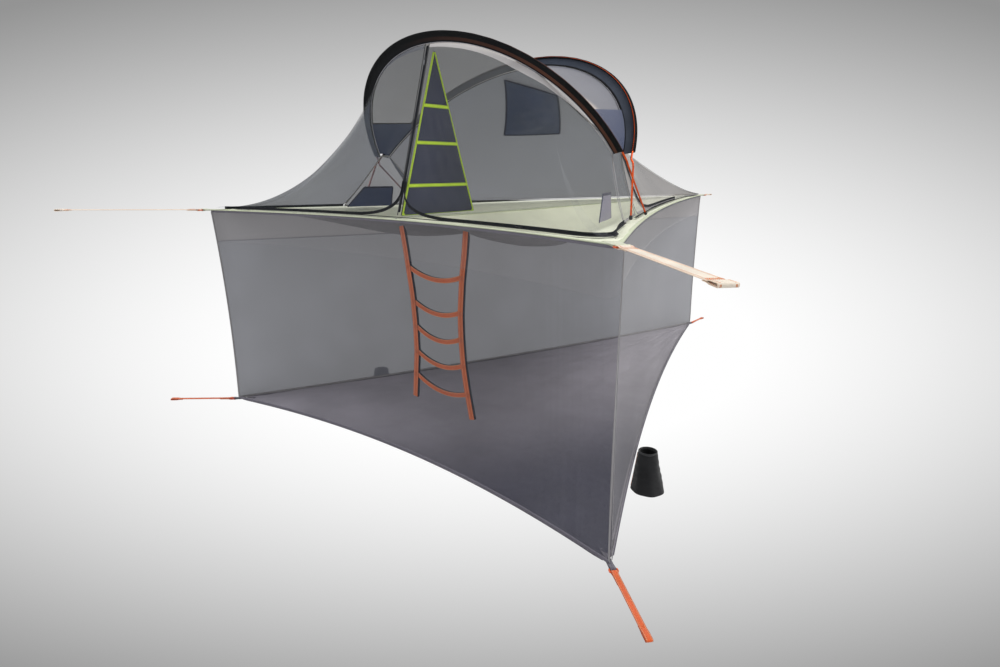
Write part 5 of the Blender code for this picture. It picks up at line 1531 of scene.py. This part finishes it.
# ================================================================ floor pockets by the pole feet
for s, word in ((-1, "left"), (1, "right")):
    def pocket_at(k, h):
        ax, ay = 0.880 + (0.785 - 0.880) * k, 0.640 + (0.900 - 0.640) * k
        left = 0.0 + 0.37 * h
        kk = left + (1.0 + 0.03 * h - left) * k
        x = 0.880 + (0.785 - 0.880) * kk
        y = 0.640 + (0.900 - 0.640) * kk
        e = math.sin(math.pi * k) ** 0.7 * math.sin(math.pi * (0.10 + 0.55 * h))
        out = 0.012 * e * (1 - 0.6 * h)
        return (s * (x - 0.010 * h + 0.94 * out), y + 0.34 * out, 0.006 + 0.112 * h)
    G = np.array([[pocket_at(k, h) for h in np.linspace(0, 1, 18)] for k in np.linspace(0, 1, 26)])
    if s > 0:
        G = G[::-1]
    F = Form()
    F.slab(G, 0.0022, 0, 0, 0)
    n = normals_of(G)
    edge_tape(F, G[:, -1], n[:, -1], 0.012, 0.0036, 1)
    for line, nn in ((G[0], n[0]), (G[-1], n[-1])):
        edge_tape(F, line, nn, 0.008, 0.0032, 1)
    ob = F.build("floor_pocket_%s_cloth" % word, [M["navy"] if s < 0 else M["lavender"], M["navy_soft"]], "tent",
                 "navy_fabric", ["floor_pocket_" + word])
    declare_sheet(ob, 2)

# ================================================================ lower room
G = lower_floor_grid(np.linspace(0, 1, 90))
G = wrinkle(G, 0.0045, 7, 1.4)
for corner in ((-LOWER_HALF, LOWER_Y0, LOWER_Z), (LOWER_HALF, LOWER_Y0, LOWER_Z), (0, LOWER_APEX_Y, LOWER_Z)):
    G = pulls(G, corner, 40, 0.0035, 0.6)
F = Form()
F.slab(G, 0.0030, 0, 1, 1)
ob = F.build("lower_floor_cloth", [M["lower_top"], M["lower_under"]], "tent", "lower_floor_fabric", ["lower_floor"])
declare_sheet(ob, 2)

walls = (("front", front_wall_top, lambda u: lower_front(0.006 + 0.988 * u, WALL_INSET), front_bow, 0.0, "wall_net"),
         ("left", lambda u: left_wall_path(u, front_edge(0.0125, WALL_INSET), lambda t: side_edge(t, -1, WALL_INSET)),
          lambda u: left_wall_path(u, lower_front(0.0065, WALL_INSET), lambda t: lower_side(t, -1, WALL_INSET)),
          lambda u: side_bow(u, -1), 1.0, "wall_net_left"),
         ("right", lambda u: side_edge(0.0515 + 0.9435 * u, 1, WALL_INSET), lambda u: lower_side(0.010 + 0.985 * u, 1, WALL_INSET),
          lambda u: side_bow(u, 1), 0.0, "wall_net_right_painted_light"))
for word, top, low, bow, dens, m in walls:
    vs = np.linspace(0, 1, 44)
    G = wall_grid(top, low, bow, np.linspace(0, 1, 96), vs)
    n = normals_of(G)
    U = np.linspace(0, 1, 96)[:, None]
    pleat = np.sin(U * 61 + np.sin(U * 17) * 2) * np.exp(-((vs[None, :] - 0.0) / 0.30) ** 2) * 0.0022
    pleat += np.sin(U * 47 + 2) * np.exp(-((vs[None, :] - 1.0) / 0.25) ** 2) * 0.0022
    pleat *= np.clip(np.minimum(vs, 1 - vs) / 0.05, 0, 1)[None, :]
    G = G + n * pleat[..., None]
    lens = along(G[:, 22])
    uv = np.stack([np.repeat(lens[:, None], 44, 1), np.repeat(-(vs * (-LOWER_Z))[None, :], 96, 0)], -1)
    F = Form()
    F.grid(G, uv, 0, dense=dens)
    n = normals_of(G)
    edge_tape(F, G[:, 0], n[:, 0], 0.010, 0.0020, 1)
    edge_tape(F, G[:, -1], n[:, -1], 0.014, 0.0022, 1)
    for line, nn in ((G[0], n[0]), (G[-1], n[-1])):
        edge_tape(F, line, nn, 0.009, 0.0018, 2)
    ob = F.build("wall_%s_net" % word, [M[m], M["seam"] if word == "left" else M["low_edge"], M["seam"]], "tent", "wall_fabric", ["wall_" + word])
    declare_sheet(ob)

# ================================================================ ladder
LADDER_Y = 0.252
STRINGERS = {
    "left": ((0.042, -0.030), (0.063, -0.130), (0.080, -0.230), (0.102, -0.350), (0.115, -0.490),
             (0.119, -0.630), (0.108, -0.750), (0.098, -0.862)),
    "right": ((0.455, -0.030), (0.444, -0.130), (0.427, -0.240), (0.414, -0.400), (0.417, -0.520),
              (0.427, -0.635), (0.448, -0.755), (0.478, -0.888)),
}
RUNGS = ((-0.222, -0.262, -0.236), (-0.383, -0.422, -0.398), (-0.503, -0.548, -0.520),
         (-0.628, -0.670, -0.644), (-0.745, -0.796, -0.775))


def stringer_x(word, z):
    xs = STRINGERS[word]
    return float(np.interp(-z, [-q[1] for q in xs], [q[0] for q in xs]))


def thick_strap(form, P, side, up, width, thick, face, edge, slim=None):
    """A strap of several sewn layers: faces in one colour and its cut sides in another. slim thins it point by point."""
    P = np.asarray(P, float)
    slim = np.ones((len(P), 1)) if slim is None else np.asarray(slim, float).reshape(-1, 1)
    side = np.array([unit(x) for x in np.broadcast_to(side, P.shape)])
    up = np.array([unit(u - s * np.dot(u, s)) for u, s in zip(np.broadcast_to(up, P.shape), side)])
    w, h = width / 2, thick / 2
    shape = [(-w, -h * 0.55), (-w + 0.0009, -h), (0, -h), (w - 0.0009, -h), (w, -h * 0.55), (w, h * 0.55), (w - 0.0009, h), (0, h),
             (-w + 0.0009, h), (-w, h * 0.55)]
    kinds = [edge, face, face, edge, edge, edge, face, face, edge, edge]
    Q = np.stack([P + side * a + up * b * slim for a, b in shape], 1)
    d = along(P)
    k = len(shape)
    first = form.points(Q)
    for i in range(len(P) - 1):
        for j in range(k):
            m = (j + 1) % k
            form.f.append([first + i * k + j, first + i * k + m, first + (i + 1) * k + m, first + (i + 1) * k + j])
            a, b = (shape[j][0], shape[m][0]) if kinds[j] == face else (shape[j][1], shape[m][1])
            form.uv.append([(d[i], a), (d[i], b), (d[i + 1], b), (d[i + 1], a)])
            form.m.append(kinds[j])
    form.fan([first + j for j in reversed(range(k))], [(0, 0.001 * j) for j in range(k)], edge)
    form.fan([first + (len(P) - 1) * k + j for j in range(k)], [(0, 0.001 * j) for j in range(k)], edge)


for word in ("left", "right"):
    z = np.linspace(STRINGERS[word][0][1], STRINGERS[word][-1][1], 70)
    x = np.array([stringer_x(word, q) for q in z])
    for _ in range(5):
        x[1:-1] = (x[:-2] + 2 * x[1:-1] + x[2:]) / 4
    # The layers run out towards the top, so that the strap turns under the floor without touching it.
    slim = np.clip((0.00285 + (-0.030 - z) * 0.575) / 0.0135, 0, 1)
    P = np.stack([x, LADDER_Y + 0.00175 + 0.00675 * slim, z], 1)
    side = np.cross(np.gradient(np.stack([x, np.zeros_like(x), z], 1), axis=0), (0, 1, 0))
    F = Form()
    thick_strap(F, P, side, (0, 1, 0), 0.033, 0.0135, 0, 1, slim)
    for rung in RUNGS:
        zz = rung[0] if word == "left" else rung[2]
        xx = stringer_x(word, zz)
        for sgn in (-1, 1):
            yy = LADDER_Y + 0.0085 + sgn * 0.0069
            c = np.array([xx, yy, zz])
            for a, b in (((-0.009, -0.008), (0.009, -0.008)), ((0.009, -0.008), (0.009, 0.008)), ((0.009, 0.008), (-0.009, 0.008)),
                         ((-0.009, 0.008), (-0.009, -0.008)), ((-0.009, -0.008), (0.009, 0.008)), ((-0.009, 0.008), (0.009, -0.008))):
                F.stitch(c + [a[0], 0, a[1]], c + [b[0], 0, b[1]], (0, sgn, 0), 0.0036, 0.0028, 0.00042, 2)
    F.build("ladder_side_" + word, [M["ladder"], M["ladder_side"], M["thread_dark"]], "ladder", "ladder_webbing",
            ["ladder_stringer_" + word])
for k, (z0, z1, z2) in enumerate(RUNGS):
    xa, xb = stringer_x("left", z0), stringer_x("right", z2)
    P = []
    for t in np.linspace(0, 1, 44):
        z = (1 - t) ** 2 * z0 + 2 * t * (1 - t) * (2 * z1 - (z0 + z2) / 2) + t ** 2 * z2
        P.append((xa + 0.012 + (xb - xa - 0.024) * t, LADDER_Y + 0.0088, z))
    P = np.array(P)
    t = np.gradient(P, axis=0)
    F = Form()
    thick_strap(F, P, np.cross(t, (0, 1, 0)), (0, 1, 0), 0.023, 0.0115, 0, 1)
    F.build("ladder_step_%d" % (k + 1), [M["ladder"], M["ladder_side"]], "ladder", "ladder_webbing",
            ["ladder_rung_%d" % (k + 1)])

# ================================================================ bags at the lower floor's side edges
BAG_TOP_Z, BAG_LOW_Z = -1.128, -1.335
for s, word in ((-1, "left"), (1, "right")):
    cx0, cx1, cy = 1.024, 1.034, 0.950
    rt, rb, wall_t = 0.046, 0.083, 0.003
    around, up = 96, 46
    prof = []
    for h in np.linspace(0, 1, up):
        prof.append((rb + (rt - rb) * h ** 0.9, BAG_LOW_Z + (BAG_TOP_Z - BAG_LOW_Z) * h, h))
    bottom = [(rb * q, BAG_LOW_Z + 0.010 * (1 - q) ** 0 * (0.0 if q > 0.93 else 0.002), 0.0) for q in np.linspace(0.08, 0.97, 12)]
    inner = [(r - wall_t, z + (wall_t if i == 0 else 0), h) for i, (r, z, h) in enumerate(prof)][::-1]
    inner_low = [(q[0] - wall_t if q[0] > wall_t * 2 else q[0] * 0.5, BAG_LOW_Z + wall_t + 0.001, 0.0) for q in bottom][::-1]
    chain = bottom + prof + inner + inner_low
    P = np.empty((len(chain), around, 3))
    for i, (r, z, h) in enumerate(chain):
        body = i >= len(bottom) and i < len(bottom) + 2 * up
        cx = cx1 + (cx0 - cx1) * h
        for j in range(around):
            a = 2 * math.pi * j / around
            fold_h = (math.sin(a * 7 + 3.1 * h + s) * 0.0016 * (1 - h) + math.sin(a * 3 - 5 * h) * 0.0022 * math.sin(math.pi * h)
                      + math.sin(h * 34 + math.sin(a * 2) * 2) * 0.0011 * math.sin(math.pi * h)) if body else 0.0
            rr = r + fold_h
            sag = -0.004 * math.cos(a * 2 + 1) * (1 - h) if body else 0.0
            P[i, j] = (s * (cx + rr * math.cos(a)), cy + rr * math.sin(a), max(z + sag * 0.3, BAG_LOW_Z - 0.001))
    uvd = np.array([sum(math.dist(chain[q][:2], chain[q + 1][:2]) for q in range(i)) for i in range(len(chain))])
    uv = np.stack([np.repeat(uvd[:, None], around + 1, 1), np.repeat(np.linspace(0, 2 * math.pi * 0.07, around + 1)[None, :], len(chain), 0)], -1)
    F = Form()
    first = F.grid(P, uv, 0, wrap_v=True, flip=s > 0)
    centre = F.points([(s * cx1, cy, BAG_LOW_Z + 0.002), (s * cx1, cy, BAG_LOW_Z + wall_t + 0.001)])
    for j in range(around):
        k = (j + 1) % around
        F.fan([first + k, first + j, centre] if s > 0 else [first + j, first + k, centre], [(0, 0), (0, 0.01), (0.01, 0)], 0)
        last = first + (len(chain) - 1) * around
        F.fan([last + j, last + k, centre + 1] if s > 0 else [last + k, last + j, centre + 1], [(0, 0), (0, 0.01), (0.01, 0)], 0)
    circle = np.array([(s * (cx0 + (rt - 0.0015) * math.cos(a)), cy + (rt - 0.0015) * math.sin(a), BAG_TOP_Z - 0.006)
                       for a in np.linspace(0, 2 * math.pi, 81)[:-1]])
    outw = circle - np.array([s * cx0, cy, BAG_TOP_Z - 0.006])
    F.tape(circle, (0, 0, 1), outw, 0.014, 0.0058, 1, closed=True)
    line = np.array([(s * (cx1 + (cx0 - cx1) * h - (rb + (rt - rb) * h ** 0.9 + 0.0018) * math.cos(0.35)),
                      cy - (rb + (rt - rb) * h ** 0.9 + 0.0018) * math.sin(0.35), BAG_LOW_Z + (BAG_TOP_Z - BAG_LOW_Z) * h)
                     for h in np.linspace(0.03, 0.93, 40)])
    F.tape(line, (0.34, 0.94 * -s * -1, 0), (-s * 0.94, -0.34, 0), 0.004, 0.0014, 2)
    F.build("bag_%s_cloth" % word, [M["black"], M["black_tape"], M["thread_orange"]], "bag_" + word, "black_fabric",
            ["side_bag_" + word])


# ================================================================ hard parts kept from the frame
def finish_part(name, material, bevel):
    ob = NODES[name]
    ob.data.materials.clear()
    ob.data.materials.append(material)
    if bevel:
        b = ob.modifiers.new("edges", "BEVEL")
        b.width = bevel
        b.segments = 3
        b.limit_method = "ANGLE"
        b.angle_limit = math.radians(35)
    return ob


for low in ("", "lower_"):
    for key in ("front_left", "front_right", "rear"):
        finish_part(low + "ring_" + key, M["ring_red"] if low and key == "front_left" else M["ring"], 0.0012)
for word in ("centre", "bottom", "rear"):
    finish_part(word + "_zip_slider", M["slider"], 0.0004)
    finish_part(word + "_zip_pull", M["slider"], 0.0002)
for word in ("front", "rear"):
    for side in ("left", "right"):
        finish_part("foot_cup_%s_%s" % (word, side), M["cup"], 0.0006)
